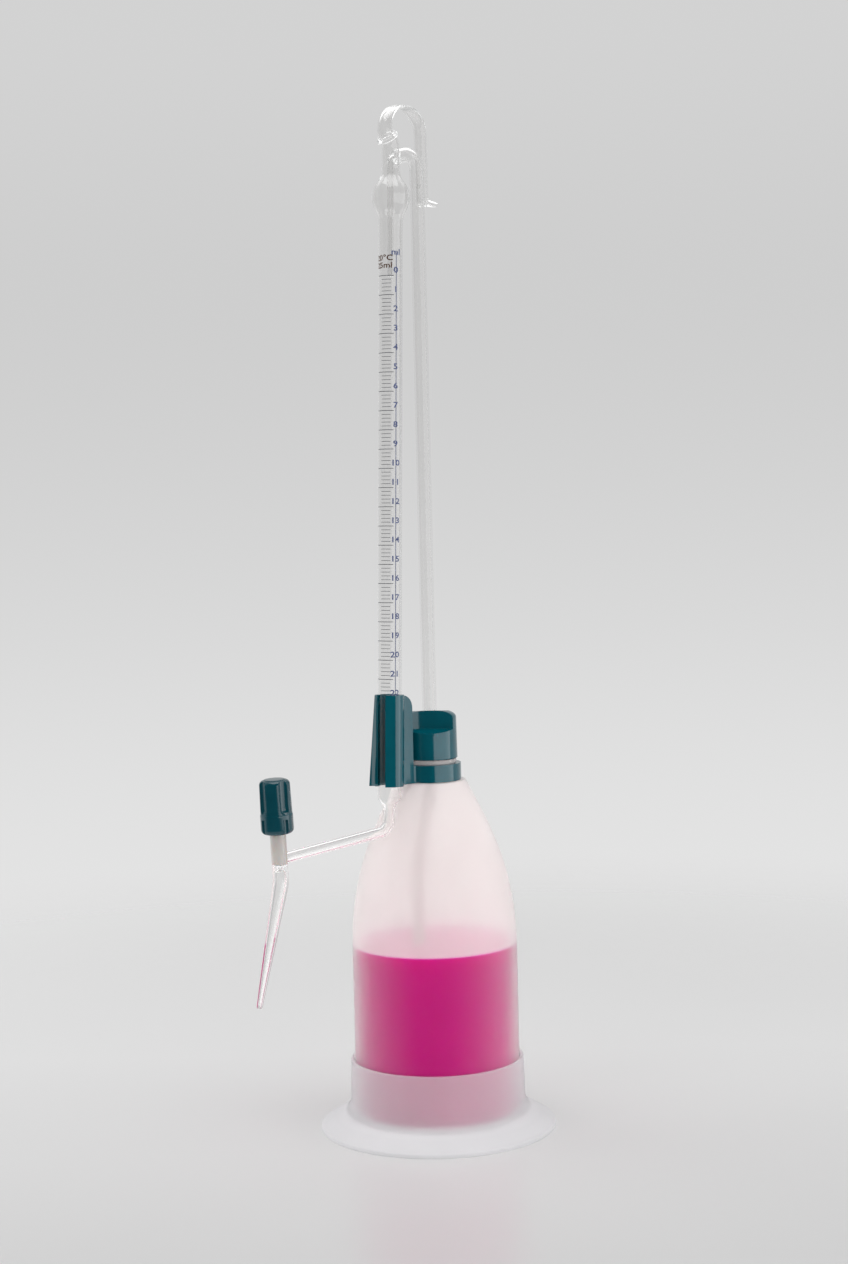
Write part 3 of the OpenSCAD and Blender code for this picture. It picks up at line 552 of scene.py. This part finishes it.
def tube_wall(path, outer_thin, outer_wide, inner_thin, inner_wide, across, sides):
    """Closed wall of a glass tube: the outer skin forward along the path and the inner one back."""
    outside = swept(path, outer_thin, outer_wide, across, sides)
    inside = swept(path, inner_thin, inner_wide, across, sides)
    return np.concatenate([outside, inside[::-1]])


def round_tube(path, outer, inner, sides):
    """Closed wall of a tube that is round at each point of its path."""
    return tube_wall(path, outer, outer, inner, inner, ACROSS, sides)


def glass_piece(name, rings, *replaced):
    dress(mesh_piece(name, *looped_rings(rings), GLASS), "head", "clear_glass", *replaced)


def seat_on_tube(rings, s, toward, radius, reach=4.0):
    """Seats the start of a tube's wall on a round tube: p + w (R - sqrt(R^2 - y^2)) toward, w falling with s."""
    near = np.clip(1 - s / reach, 0, 1) ** 2
    near = np.concatenate([near, near[::-1]])[:, None, None]
    sink = radius - np.sqrt(np.clip(radius ** 2 - (rings[:, :, 1] - rings[0, :, 1].mean()) ** 2, 0.1, None))
    rings += near * sink[:, :, None] * toward


def on_burette(along, side=0.0):
    """Points on the burette's axis, with a shift toward the riser."""
    return BURETTE_ROOT + np.multiply.outer(along, BURETTE_AXIS) + np.multiply.outer(side, BURETTE_SIDE)


def half_round(value):
    """Height of a unit half circle at a share of its radius, and 0 beyond it."""
    return np.sqrt(np.clip(1 - value ** 2, 0, 1))


def arch_points():
    """Centre line of the vent: from the mouth up over the crown and down the leg, as two cubic curves."""
    rim = RIM_L + RIM_T
    side = THROAT_BEND * (1 - math.cos(THROAT_TURN)) + rim * math.sin(THROAT_TURN)
    along = THROAT_TOP + THROAT_BEND * math.sin(THROAT_TURN) + rim * math.cos(THROAT_TURN)
    mouth = on_burette(along, -side)
    run = np.hypot(LEG[0] - mouth[0], LEG[1])
    ground = np.array([(LEG[0] - mouth[0]) / run, LEG[1] / run, 0.0])
    crown = run * 0.46
    tilt, pull = THROAT_TURN - LEAN, 7
    up = bezier([[0, 0], [-pull * math.sin(tilt), pull * math.cos(tilt)], [2, ARCH_RISE], [crown, ARCH_RISE]], 40)
    down = bezier([[crown, ARCH_RISE], [crown + 9.5, ARCH_RISE], [run, 13], [run, 3]], 40)
    flat = joined(up, down)
    return mouth + flat[:, :1] * ground + flat[:, 1:] * UP, np.array([-ground[1], ground[0], 0.0])


def burette_profile(along, arm_r, tube_r, throat_r):
    """Radius of a skin along the burette: arm, taper, tube, bulb and throat."""
    far_below, far_above = -400.0, 900.0
    bulb_r = BULB_R - (BURETTE_R - tube_r)
    outline = joined([[arm_r, far_below]], swell([arm_r, NUB_LOW], [tube_r, NUB_TOP]),
                     swell([tube_r, BULB_LOW], [bulb_r, BULB_WIDE]),
                     swell([bulb_r, BULB_WIDE], [THROAT_R - (BURETTE_R - tube_r), BULB_TOP]), [[throat_r, far_above]])
    return np.interp(along, outline[:, 1], outline[:, 0])


def make_burette():
    """Outlet arm, burette, bulb, neck, rolled rim, vent arch and leg as one run of glass."""
    turn = math.pi / 2 - LEAN - ARM_SLOPE
    knee_top = KNEE + ARM_BEND * math.tan(turn / 2)
    bend = bend_points(on_burette(knee_top), -BURETTE_AXIS, -BURETTE_SIDE, ARM_BEND, turn, 16)[::-1]
    arm = joined(straight(VALVE_ROOT - VALVE_OUT * (BARREL_R + GLASS_GAP), bend[0], 24), bend)
    stops = knee_top, NUB_LOW, NUB_TOP, BULB_LOW, BULB_TOP, THROAT_TOP
    marks = [np.linspace(a, b, n) for a, b, n in zip(stops, stops[1:], (6, 20, 60, 40, 6))]
    tube = on_burette(np.concatenate(marks))
    neck = bend_points(on_burette(THROAT_TOP), BURETTE_AXIS, -BURETTE_SIDE, THROAT_BEND, THROAT_TURN, 12)
    mouth_dir = BURETTE_AXIS * math.cos(THROAT_TURN) - BURETTE_SIDE * math.sin(THROAT_TURN)
    rim = onward(neck[-1], mouth_dir, RIM_L + RIM_T, 17)
    arch, arch_across = arch_points()
    leg = straight([*LEG, arch[-1][2]], [*LEG, LEG_Z + VENT_R], 16)
    # The leg's round end stops just short of its pole
    dome = np.linspace(0, 1, 10)[1:, None]
    end = leg[-1] - UP * VENT_R * np.sin(dome * np.pi / 2 * 0.985)
    path = joined(arm, tube, neck, rim, arch, leg, end)
    s = run_length(path)

    def at(point):
        """Distance along the whole path of the nearest of its points."""
        return s[np.argmin(np.linalg.norm(path - point, axis=1))]

    s_mouth, s_arch_end, s_leg = at(rim[-1]), at(arch[-1]), at(leg[-1])
    along = s - at(on_burette(0.0))
    inner = burette_profile(along, ARM_BORE, BURETTE_BORE, THROAT_R - THROAT_WALL)
    # Rolled rim: a half-round bead that stands out of the mouth
    bead = half_round((s - s_mouth + RIM_T / 2) / (RIM_T / 2))
    outer = burette_profile(along, ARM_R, BURETTE_R, THROAT_R) + bead * RIM_T / 2
    # Vent: flared at the mouth, round on its legs and flattened at the crown
    share = np.clip((s - s_mouth) / (s_arch_end - s_mouth), 0, 1)
    flat = np.sin(np.pi * share) ** 2
    in_vent = s > s_mouth + 1e-6
    flare = np.clip(1 - share / 0.35, 0, 1) ** 2
    vent_thin = VENT_R + (CROWN_HALF - VENT_R) * flat + flare
    vent_wide = VENT_R * (1 + 0.25 * flat) + flare
    past_leg = np.clip(s - s_leg, 0, None)
    round_off, inner_round = half_round(past_leg / VENT_R), half_round(past_leg / (VENT_R - VENT_WALL))
    outer_thin = np.where(in_vent, vent_thin * round_off, outer)
    outer_wide = np.where(in_vent, vent_wide * round_off, outer)
    inner_thin = np.where(in_vent, np.maximum(vent_thin - VENT_WALL, 0.25) * inner_round, inner)
    inner_wide = np.where(in_vent, (vent_wide - VENT_WALL) * inner_round, inner)
    blend = np.clip((s - s_mouth) / 4.0, 0, 1)[:, None]
    across = ACROSS * (1 - blend) + arch_across * blend
    rings = tube_wall(path, outer_thin, outer_wide, np.maximum(inner_thin, LEAST_BORE),
                      np.maximum(inner_wide, LEAST_BORE), across, 48)
    seat_on_tube(rings, s, VALVE_OUT, BARREL_R)
    glass_piece("burette_glass", rings, "outlet_arm", "burette_tube", "burette_mouth", "vent_arch", "vent_leg")


def riser_cross():
    """Distance from the elbow's end to the burette's axis, along the elbow's outgoing direction."""
    drop = ELBOW_TURN - math.pi / 2
    gap = ELBOW_END[0] - BURETTE_ROOT[0] - (ELBOW_END[2] - BURETTE_ROOT[2]) * math.tan(LEAN)
    return gap / (math.cos(drop) - math.sin(drop) * math.tan(LEAN))


def make_riser():
    """Riser with its nipple, elbow and the end that is sealed to the burette's neck."""
    elbow = bend_points(UP * ELBOW_Z, UP, np.array([-1.0, 0, 0]), ELBOW_BEND, ELBOW_TURN, 28)
    step_top = LEDGE_Z + NIPPLE_STEP
    rise = joined(straight(UP * NIPPLE_LOW, UP * LEDGE_Z, 8), straight(UP * LEDGE_Z, UP * step_top, 6),
                  straight(UP * step_top, UP * ELBOW_Z, 50), elbow,
                  onward(elbow[-1], ELBOW_AHEAD, riser_cross() - THROAT_R - GLASS_GAP, 14))
    path = rise[::-1]
    s = run_length(path)
    climbed = s[-1] - s
    step = [LEDGE_Z - NIPPLE_LOW, step_top - NIPPLE_LOW]
    rings = round_tube(path, np.interp(climbed, step, [NIPPLE_R, RISER_R]),
                       np.interp(climbed, step, [NIPPLE_BORE, RISER_BORE]), 48)
    seat_on_tube(rings, s, ELBOW_AHEAD, THROAT_R)
    glass_piece("riser_glass", rings, "riser_tube", "riser_elbow")


def make_fill_tip():
    """Fine tip that leads from the elbow down the burette's axis to the zero line."""
    cross = ELBOW_END + ELBOW_AHEAD * riser_cross()
    cosine = float(np.dot(ELBOW_AHEAD, -BURETTE_AXIS))
    turn = math.acos(cosine)
    inward = -BURETTE_AXIS - ELBOW_AHEAD * cosine
    inward /= np.linalg.norm(inward)
    start = cross - ELBOW_AHEAD * (TIP_BEND * math.tan(turn / 2))
    bend = bend_points(start, ELBOW_AHEAD, inward, TIP_BEND, turn, 14)
    path = joined(straight(cross - ELBOW_AHEAD * (THROAT_R - TIP_ROOT), start, 4), bend,
                  straight(bend[-1], on_burette(ZERO_LINE), 40))
    s = run_length(path)
    outer = np.interp(s, [0, s[-1] * 0.3, s[-1]], [2.0, 1.9, 1.5])
    inner = np.interp(s, [0, s[-1]], [1.0, 0.7])
    glass_piece("fill_tip_glass", round_tube(path, outer, inner, 32), "fill_tip")


def make_drip_nozzle():
    """Short drip nozzle on the vent's leg: a hollow cone with a rounded mouth."""
    ahead = np.array([math.sin(NOZZLE_TURN), 0.0, math.cos(NOZZLE_TURN)])
    root = np.array([*LEG, LEG_Z + VENT_R])
    path = root + np.linspace(VENT_R + GLASS_GAP, VENT_R + NOZZLE_L, 24)[:, None] * ahead
    s = run_length(path)
    outer = np.interp(s, [0, 1.6, s[-1] - 0.5, s[-1]], [2.7, 2.2, 1.5, 1.25])
    rings = round_tube(path, outer, np.full_like(s, NOZZLE_BORE), 32)
    seat_on_tube(rings, s, -ahead, VENT_R, 2.0)
    glass_piece("drip_nozzle", rings)


def make_valve_glass():
    """Valve barrel, seat and jet as one run of glass."""
    top, low = VALVE_ROOT + VALVE_AXIS * BARREL_TOP, VALVE_ROOT - VALVE_AXIS * BARREL_LOW
    bend = bend_points(low, -VALVE_AXIS, VALVE_OUT, JET_BEND, JET_TURN, 14)
    ahead = -VALVE_AXIS * math.cos(JET_TURN) + VALVE_OUT * math.sin(JET_TURN)
    path = joined(straight(top, low, 90), bend, onward(bend[-1], ahead, JET_L, 60))
    s = run_length(path)
    end = s[-1]
    outer = np.interp(s, [0, 0.5, end - JET_L, end - 1, end], [BARREL_R - 0.5, BARREL_R, BARREL_R, 1.62, 1.3])
    # Bore: the barrel, the needle's seat by depth under the arm's axis, the way below it and the jet's fine mouth
    seat = BARREL_TOP + np.array([2.65, 4.65, 5.3, 6.2, 9.5])
    inner = np.interp(s, [0, *seat, end - JET_L, end], [BARREL_BORE, BARREL_BORE, 1.0, 1.0, 2.1, 2.3, 2.3, 0.6])
    glass_piece("valve_glass", round_tube(path, outer, inner, 48), "valve_barrel", "jet_tip")


def make_dip_tube():
    """Soft dip tube: below the nipple it swings to the photo's left along a quarter sine, then hangs straight."""
    z = np.linspace(LEDGE_Z, DIP_LOW, 60)
    sway = -DIP_SWAY * np.sin(np.clip((DIP_SWAY_TOP - z) / DIP_SWAY_FALL, 0, 1) * np.pi / 2)
    path = sway[:, None] * RIGHT + z[:, None] * UP
    piece = mesh_piece("dip_hose", *looped_rings(round_tube(path, DIP_R, DIP_BORE, 32)), DIP)
    dress(piece, "head", "bottle_polyethylene", "dip_tube")


# Scale


def wrapped(points, lift):
    """Flat print of (turn to the right in mm, height along the burette) laid round the burette's front."""
    points = np.asarray(points, float)
    a = VIEW_TURN + points[:, 0] / BURETTE_R
    ring = (BURETTE_R + lift) * (np.cos(a)[:, None] * BURETTE_SIDE + np.sin(a)[:, None] * ACROSS)
    return BURETTE_ROOT + ring + points[:, 1][:, None] * BURETTE_AXIS


def make_ticks():
    """Scale lines: strips along arcs of the burette, a long one at each millilitre and four short ones between."""
    count = np.arange(LINE_COUNT)
    level = ZERO_LINE - count * ML_STEP / DIVISIONS
    whole = count % DIVISIONS == 0
    left, right = np.where(whole, -73.0, -45.0), np.where(whole, 17.0, 3.0)
    half = np.where(whole, 0.17, 0.13)
    steps = 13
    turn = np.radians(left[:, None] + (right - left)[:, None] * np.linspace(0, 1, steps)) * BURETTE_R
    sides = [np.stack([turn, np.repeat((level + side * half)[:, None], steps, 1)], -1) for side in (-1, 1)]
    flat = np.stack(sides, 1).reshape(-1, 2)
    quads = np.array(grid_quads(2, steps, wrap_cols=False))
    faces = (quads[None] + 2 * steps * count[:, None, None]).reshape(-1, 4).tolist()
    dress(mesh_piece("scale_lines", wrapped(flat, LINE_LIFT), faces, GREY_PRINT), "head", None)


def flat_text(body, size):
    """Points (mm, centred on the text) and faces of a line of text."""
    data = bpy.data.curves.new("lettering", "FONT")
    data.body, data.size, data.align_x, data.align_y = body, size, "CENTER", "CENTER"
    data.resolution_u, data.offset = 3, TEXT_BOLD
    holder = bpy.data.objects.new("lettering", data)
    bpy.context.collection.objects.link(holder)
    mesh = bpy.data.meshes.new_from_object(holder.evaluated_get(bpy.context.evaluated_depsgraph_get()))
    points = np.empty(len(mesh.vertices) * 3)
    mesh.vertices.foreach_get("co", points)
    faces = [list(p.vertices) for p in mesh.polygons]
    bpy.data.objects.remove(holder)
    bpy.data.curves.remove(data)
    bpy.data.meshes.remove(mesh)
    return points.reshape(-1, 3)[:, :2] * [TEXT_STRETCH, 1.0], faces


def make_print(name, lines, size, turn, material):
    """Print made of lines of text, given as (words, height along the burette), at a turn in degrees from the front."""
    points, faces = [], []
    for words, level in lines:
        flat, part = flat_text(words, size)
        start = sum(len(p) for p in points)
        points.append(flat + [math.radians(turn) * BURETTE_R, level])
        faces += [[v + start for v in f] for f in part]
    piece = mesh_piece(name, wrapped(np.concatenate(points), TEXT_LIFT), faces, material, smooth=False)
    dress(piece, "head", None)


def make_stripe(name, degrees, half):
    """Blue line fired into the burette: a narrow strip that runs the scale's length at a turn from the front."""
    level = np.linspace(30, 290, 27)
    across = math.radians(degrees) * BURETTE_R + np.array([-half, half])
    flat = np.stack(np.broadcast_arrays(across[None, :], level[:, None]), -1).reshape(-1, 2)
    faces = grid_quads(len(level), 2, wrap_cols=False)
    dress(mesh_piece(name, wrapped(flat, LINE_LIFT), faces, BLUE_PRINT), "head", None)


def make_scale():
    make_ticks()
    numbers = [(str(n), ZERO_LINE - n * ML_STEP + NUMBER_RISE) for n in range(NUMBER_COUNT)]
    make_print("scale_numbers", numbers + [("ml", ZERO_LINE + UNIT_RISE)], NUMBER_SIZE, NUMBER_TURN, BLUE_PRINT)
    marks = [("20°C", ZERO_LINE + 9.4), ("25ml", ZERO_LINE + 5.4)]
    make_print("class_marks", marks, MARK_SIZE, MARK_TURN, BROWN_PRINT)
    make_stripe("reading_line", 148, 0.3)
    make_stripe("side_line", 100, 0.15)


# Fittings


def make_knob():
    """Fluted valve knob: r(a, z) is the turned outline, less round flutes above the skirt and a notch under each."""
    top_r, skirt_round, bore_r, lip, dish = 5.6, 2.6, 4.6, 0.4, 0.3
    crown, well_top, sides, far = 2.8, 13.2, 360, 99.0
    neck = [KNOB_SKIRT_R - 0.25, SKIRT_H + 0.5]
    outline = joined(
        [[bore_r + lip, 0.0]],
        rounded([KNOB_SKIRT_R - skirt_round, 0], [KNOB_SKIRT_R, 0], [KNOB_SKIRT_R, skirt_round], 12),
        straight([KNOB_SKIRT_R, skirt_round], [KNOB_SKIRT_R, SKIRT_H - lip], 24),
        rounded([KNOB_SKIRT_R, SKIRT_H - lip], [KNOB_SKIRT_R, SKIRT_H + dish], neck, 6),
        straight(neck, [KNOB_TOP_R, KNOB_H - crown], 60),
        rounded([KNOB_TOP_R, KNOB_H - crown], [KNOB_TOP_R, KNOB_H - dish], [top_r, KNOB_H - dish], 12),
        rounded([top_r, KNOB_H - dish], [top_r, KNOB_H], [top_r - lip, KNOB_H], 4), [[2.0, KNOB_H], [0.05, KNOB_H]])
    a = np.linspace(0, 2 * np.pi, sides, endpoint=False)
    r, z = outline[:, 0][:, None], outline[:, 1][:, None]
    near = (a - FLUTE_TURN + np.pi / FLUTES) % (2 * np.pi / FLUTES) - np.pi / FLUTES

    def scooped(hub, radius):
        """Distance of a round flute's near wall from the axis, or a far value beside the flute."""
        half = radius ** 2 - (hub * np.sin(near)) ** 2
        return np.where(half > 0, hub * np.cos(near) - np.sqrt(np.clip(half, 0, None)), far)

    hub = KNOB_TOP_R + FLUTE_R - FLUTE_DEPTH
    stop = SKIRT_H + 0.6 + math.sqrt(FLUTE_R ** 2 - (hub - KNOB_TOP_R) ** 2)
    below = np.clip(stop - z, 0, FLUTE_R)
    flute = scooped(hub, np.sqrt(FLUTE_R ** 2 - below ** 2))
    notch = np.where(z < SKIRT_H - 2, scooped(KNOB_SKIRT_R + 0.4, 1.5), far)
    floor = np.minimum(r, bore_r + lip)
    r = np.maximum(np.minimum(np.minimum(r, flute), notch), floor)
    local = np.stack([r * np.cos(a), r * np.sin(a), np.broadcast_to(z + KNOB_LOW, r.shape)], -1)
    well = lathe([[bore_r, KNOB_LOW + well_top], [bore_r, KNOB_LOW + dish], [bore_r + lip, KNOB_LOW]], sides)
    local = np.concatenate([well, local])
    side = np.cross(ACROSS, VALVE_AXIS)
    rings = VALVE_ROOT + local[..., :1] * side + local[..., 1:2] * ACROSS + local[..., 2:] * VALVE_AXIS
    piece = mesh_piece("fluted_knob", *closed_rings(rings), KNOB_TEAL)
    dress(piece, "knob", "teal_plastic", "valve_knob")


def paint(mesh, material):
    """One material and smooth shading for a whole mesh."""
    mesh.materials.clear()
    mesh.materials.append(material)
    mesh.polygons.foreach_set("use_smooth", np.full(len(mesh.polygons), True))


def softened_copy(name, node, material):
    """Copy of a CAD node with its doubles merged, its flat faces joined and its edges rounded over."""
    mesh = nodes[node].data.copy()
    mesh.name = name
    shape = bmesh.new()
    shape.from_mesh(mesh)
    bmesh.ops.remove_doubles(shape, verts=shape.verts, dist=2e-6)
    bmesh.ops.dissolve_limit(shape, angle_limit=math.radians(1.0), verts=shape.verts, edges=shape.edges)
    shape.to_mesh(mesh)
    shape.free()
    paint(mesh, material)
    piece = bpy.data.objects.new(name, mesh)
    bpy.context.collection.objects.link(piece)
    bevel = piece.modifiers.new("round_edges", "BEVEL")
    bevel.width, bevel.segments = EDGE_ROUND * MM, 3
    bevel.limit_method, bevel.angle_limit = "ANGLE", EDGE_ANGLE
    piece.modifiers.new("even_normals", "WEIGHTED_NORMAL").keep_sharp = True
    return piece


def make_fittings():
    dress(softened_copy("screw_cap_shell", "screw_cap", TEAL), "cap", "teal_plastic", "screw_cap")
    dress(softened_copy("holder_shell", "burette_holder", TEAL), "head", "teal_plastic", "burette_holder")


def paint_nodes():
    """Materials of the CAD nodes that show as they are."""
    for node, material in (("cap_liner", DIP), ("riser_grommet", RUBBER), ("valve_spindle", PTFE),
                           ("spindle_o_ring", RUBBER), ("vent_bridge", GLASS)):
        paint(nodes[node].data, material)


# Stage


def make_stage():
    """Round pale floor, level with the foot, that fades out into the backdrop; its colour is painted darker in front
    and lighter behind the object, a painted glow of light.
    """
    r = np.concatenate([np.linspace(0.02, 1.0, 30), [1.4]])
    disc = lathe(np.stack([r / MM, np.full(len(r), -0.05)], -1), 96)[::-1]
    f = Finish("studio_floor", IOR=1.45, Roughness=0.3)
    # Painted light: the floor's colour runs from darker toward the camera to lighter behind the object, standing in for
    # the glow of light behind it
    depth = f.spread(f.along(f.place, HEADING), -0.22, 0.16, 0.0, 0.9)
    tone = f.calc("MULTIPLY_ADD", f.noise(3, 2.0), 0.1, depth)
    f.give("Base Color", f.ramp(tone, (0.70, 0.70, 0.70), (0.90, 0.90, 0.90)))
    away = f.node("ShaderNodeVectorMath", operation="LENGTH")
    f.link(f.place, away.inputs[0])
    f.see_through(f.spread(away.outputs["Value"], 0.28, 0.95, 0.0, 1.0, "SMOOTHSTEP"))
    points, faces = closed_rings(disc)
    floor = mesh_piece("studio_floor", points[:-2], [q for q in faces if len(q) == 4], f.material)
    floor.data.flip_normals()


def at_view(turn, distance, height):
    """Place at an angle to the right of the line from the object to the camera."""
    a = VIEW_TURN + math.radians(turn)
    return Vector((distance * math.cos(a), distance * math.sin(a), height))


def soft_box(name, place, target, size, radiance, unseen):
    """Rectangular soft box aimed at a point, whose face has this radiance and is hidden from these kinds of rays."""
    data = bpy.data.lights.new(name, "AREA")
    data.shape, data.size, data.size_y = "RECTANGLE", size[0], size[1]
    data.energy = radiance * math.pi * size[0] * size[1]
    lamp = bpy.data.objects.new(name, data)
    lamp.matrix_world = Matrix.Translation(place) @ (target - place).to_track_quat("-Z", "Y").to_matrix().to_4x4()
    bpy.context.collection.objects.link(lamp)
    for rays in unseen:
        setattr(lamp, "visible_" + rays, False)


def make_lights():
    """Soft boxes at both sides, one above and a weaker one in front."""
    for name, place, aim, size, radiance, unseen in LAMPS:
        soft_box(name, at_view(*place), Vector((0, 0, aim)), size, radiance, unseen)


def make_air():
    """Even air that lights the object, and shows as the pale backdrop to the camera, in mirrors and through glass."""
    world = bpy.data.worlds.new("studio_air")
    bpy.context.scene.world = world
    world.use_nodes = True
    air = Nodes(world.node_tree)
    look = air.node("ShaderNodeTexCoord").outputs["Generated"]
    height = air.height_of(look)
    toward = air.along(look, HEADING)
    low, high = BACKDROP[0][0], BACKDROP[-1][0]
    ramp = air.node("ShaderNodeValToRGB")
    ramp.color_ramp.interpolation = "B_SPLINE"
    for _ in BACKDROP[2:]:
        ramp.color_ramp.elements.new(0.5)
    for element, (sine, grey) in zip(ramp.color_ramp.elements, BACKDROP):
        element.position = (sine - low) / (high - low)
        element.color = (grey, grey, grey, 1)
    air.link(air.calc("DIVIDE", air.calc("SUBTRACT", height, low), high - low), ramp.inputs["Fac"])
    grey = ramp.outputs["Color"]
    path = air.node("ShaderNodeLightPath").outputs
    camera, glossy = path["Is Camera Ray"], path["Is Glossy Ray"]
    through = air.calc("GREATER_THAN", path["Transmission Depth"], 0.5)
    # Mirrors see the backdrop behind the object, and little of the room behind the camera
    mirrored = air.calc("MULTIPLY", glossy, air.spread(toward, -0.45, 0.05, 0.05, 1.0, "SMOOTHSTEP"))
    direct = air.calc("MAXIMUM", camera, air.calc("MULTIPLY", mirrored, air.calc("SUBTRACT", 1.0, through)))
    # Through glass the sides are a little darker, and the air high behind the object is bright
    off_sides = air.spread(air.calc("ABSOLUTE", toward), 0.35, 0.85, 0.8, 1.0, "SMOOTHSTEP")
    bright = air.calc("MULTIPLY", air.spread(height, 0.38, 0.62, 0.0, 1.1, "SMOOTHSTEP"),
                      air.spread(toward, 0.05, 0.4, 0.0, 1.0, "SMOOTHSTEP"))
    beyond = air.calc("MULTIPLY", air.calc("ADD", air.calc("MULTIPLY", grey, off_sides), bright), through)
    seen = air.calc("MAXIMUM", air.calc("MAXIMUM", camera, through), glossy)
    lighting = air.calc("MULTIPLY", air.calc("SUBTRACT", 1.0, seen), AIR_LIGHT)
    backdrop = air.calc("ADD", air.calc("MULTIPLY", grey, direct), beyond)
    background = air.tree.nodes["Background"].inputs
    background["Color"].default_value = (1, 1, 1, 1)
    air.link(air.calc("ADD", backdrop, lighting), background["Strength"])


camera_at_photo()
make_stage()
make_lights()
make_air()
make_foot_and_bottle()
make_burette()
make_riser()
make_fill_tip()
make_drip_nozzle()
make_valve_glass()
make_dip_tube()
make_scale()
make_knob()
make_fittings()
paint_nodes()

bpy.context.scene.view_settings.view_transform = "Standard"
# Glass needs many turns of light
light_paths = bpy.context.scene.cycles
light_paths.max_bounces = light_paths.glossy_bounces = light_paths.transmission_bounces = 32
light_paths.transparent_max_bounces = 24
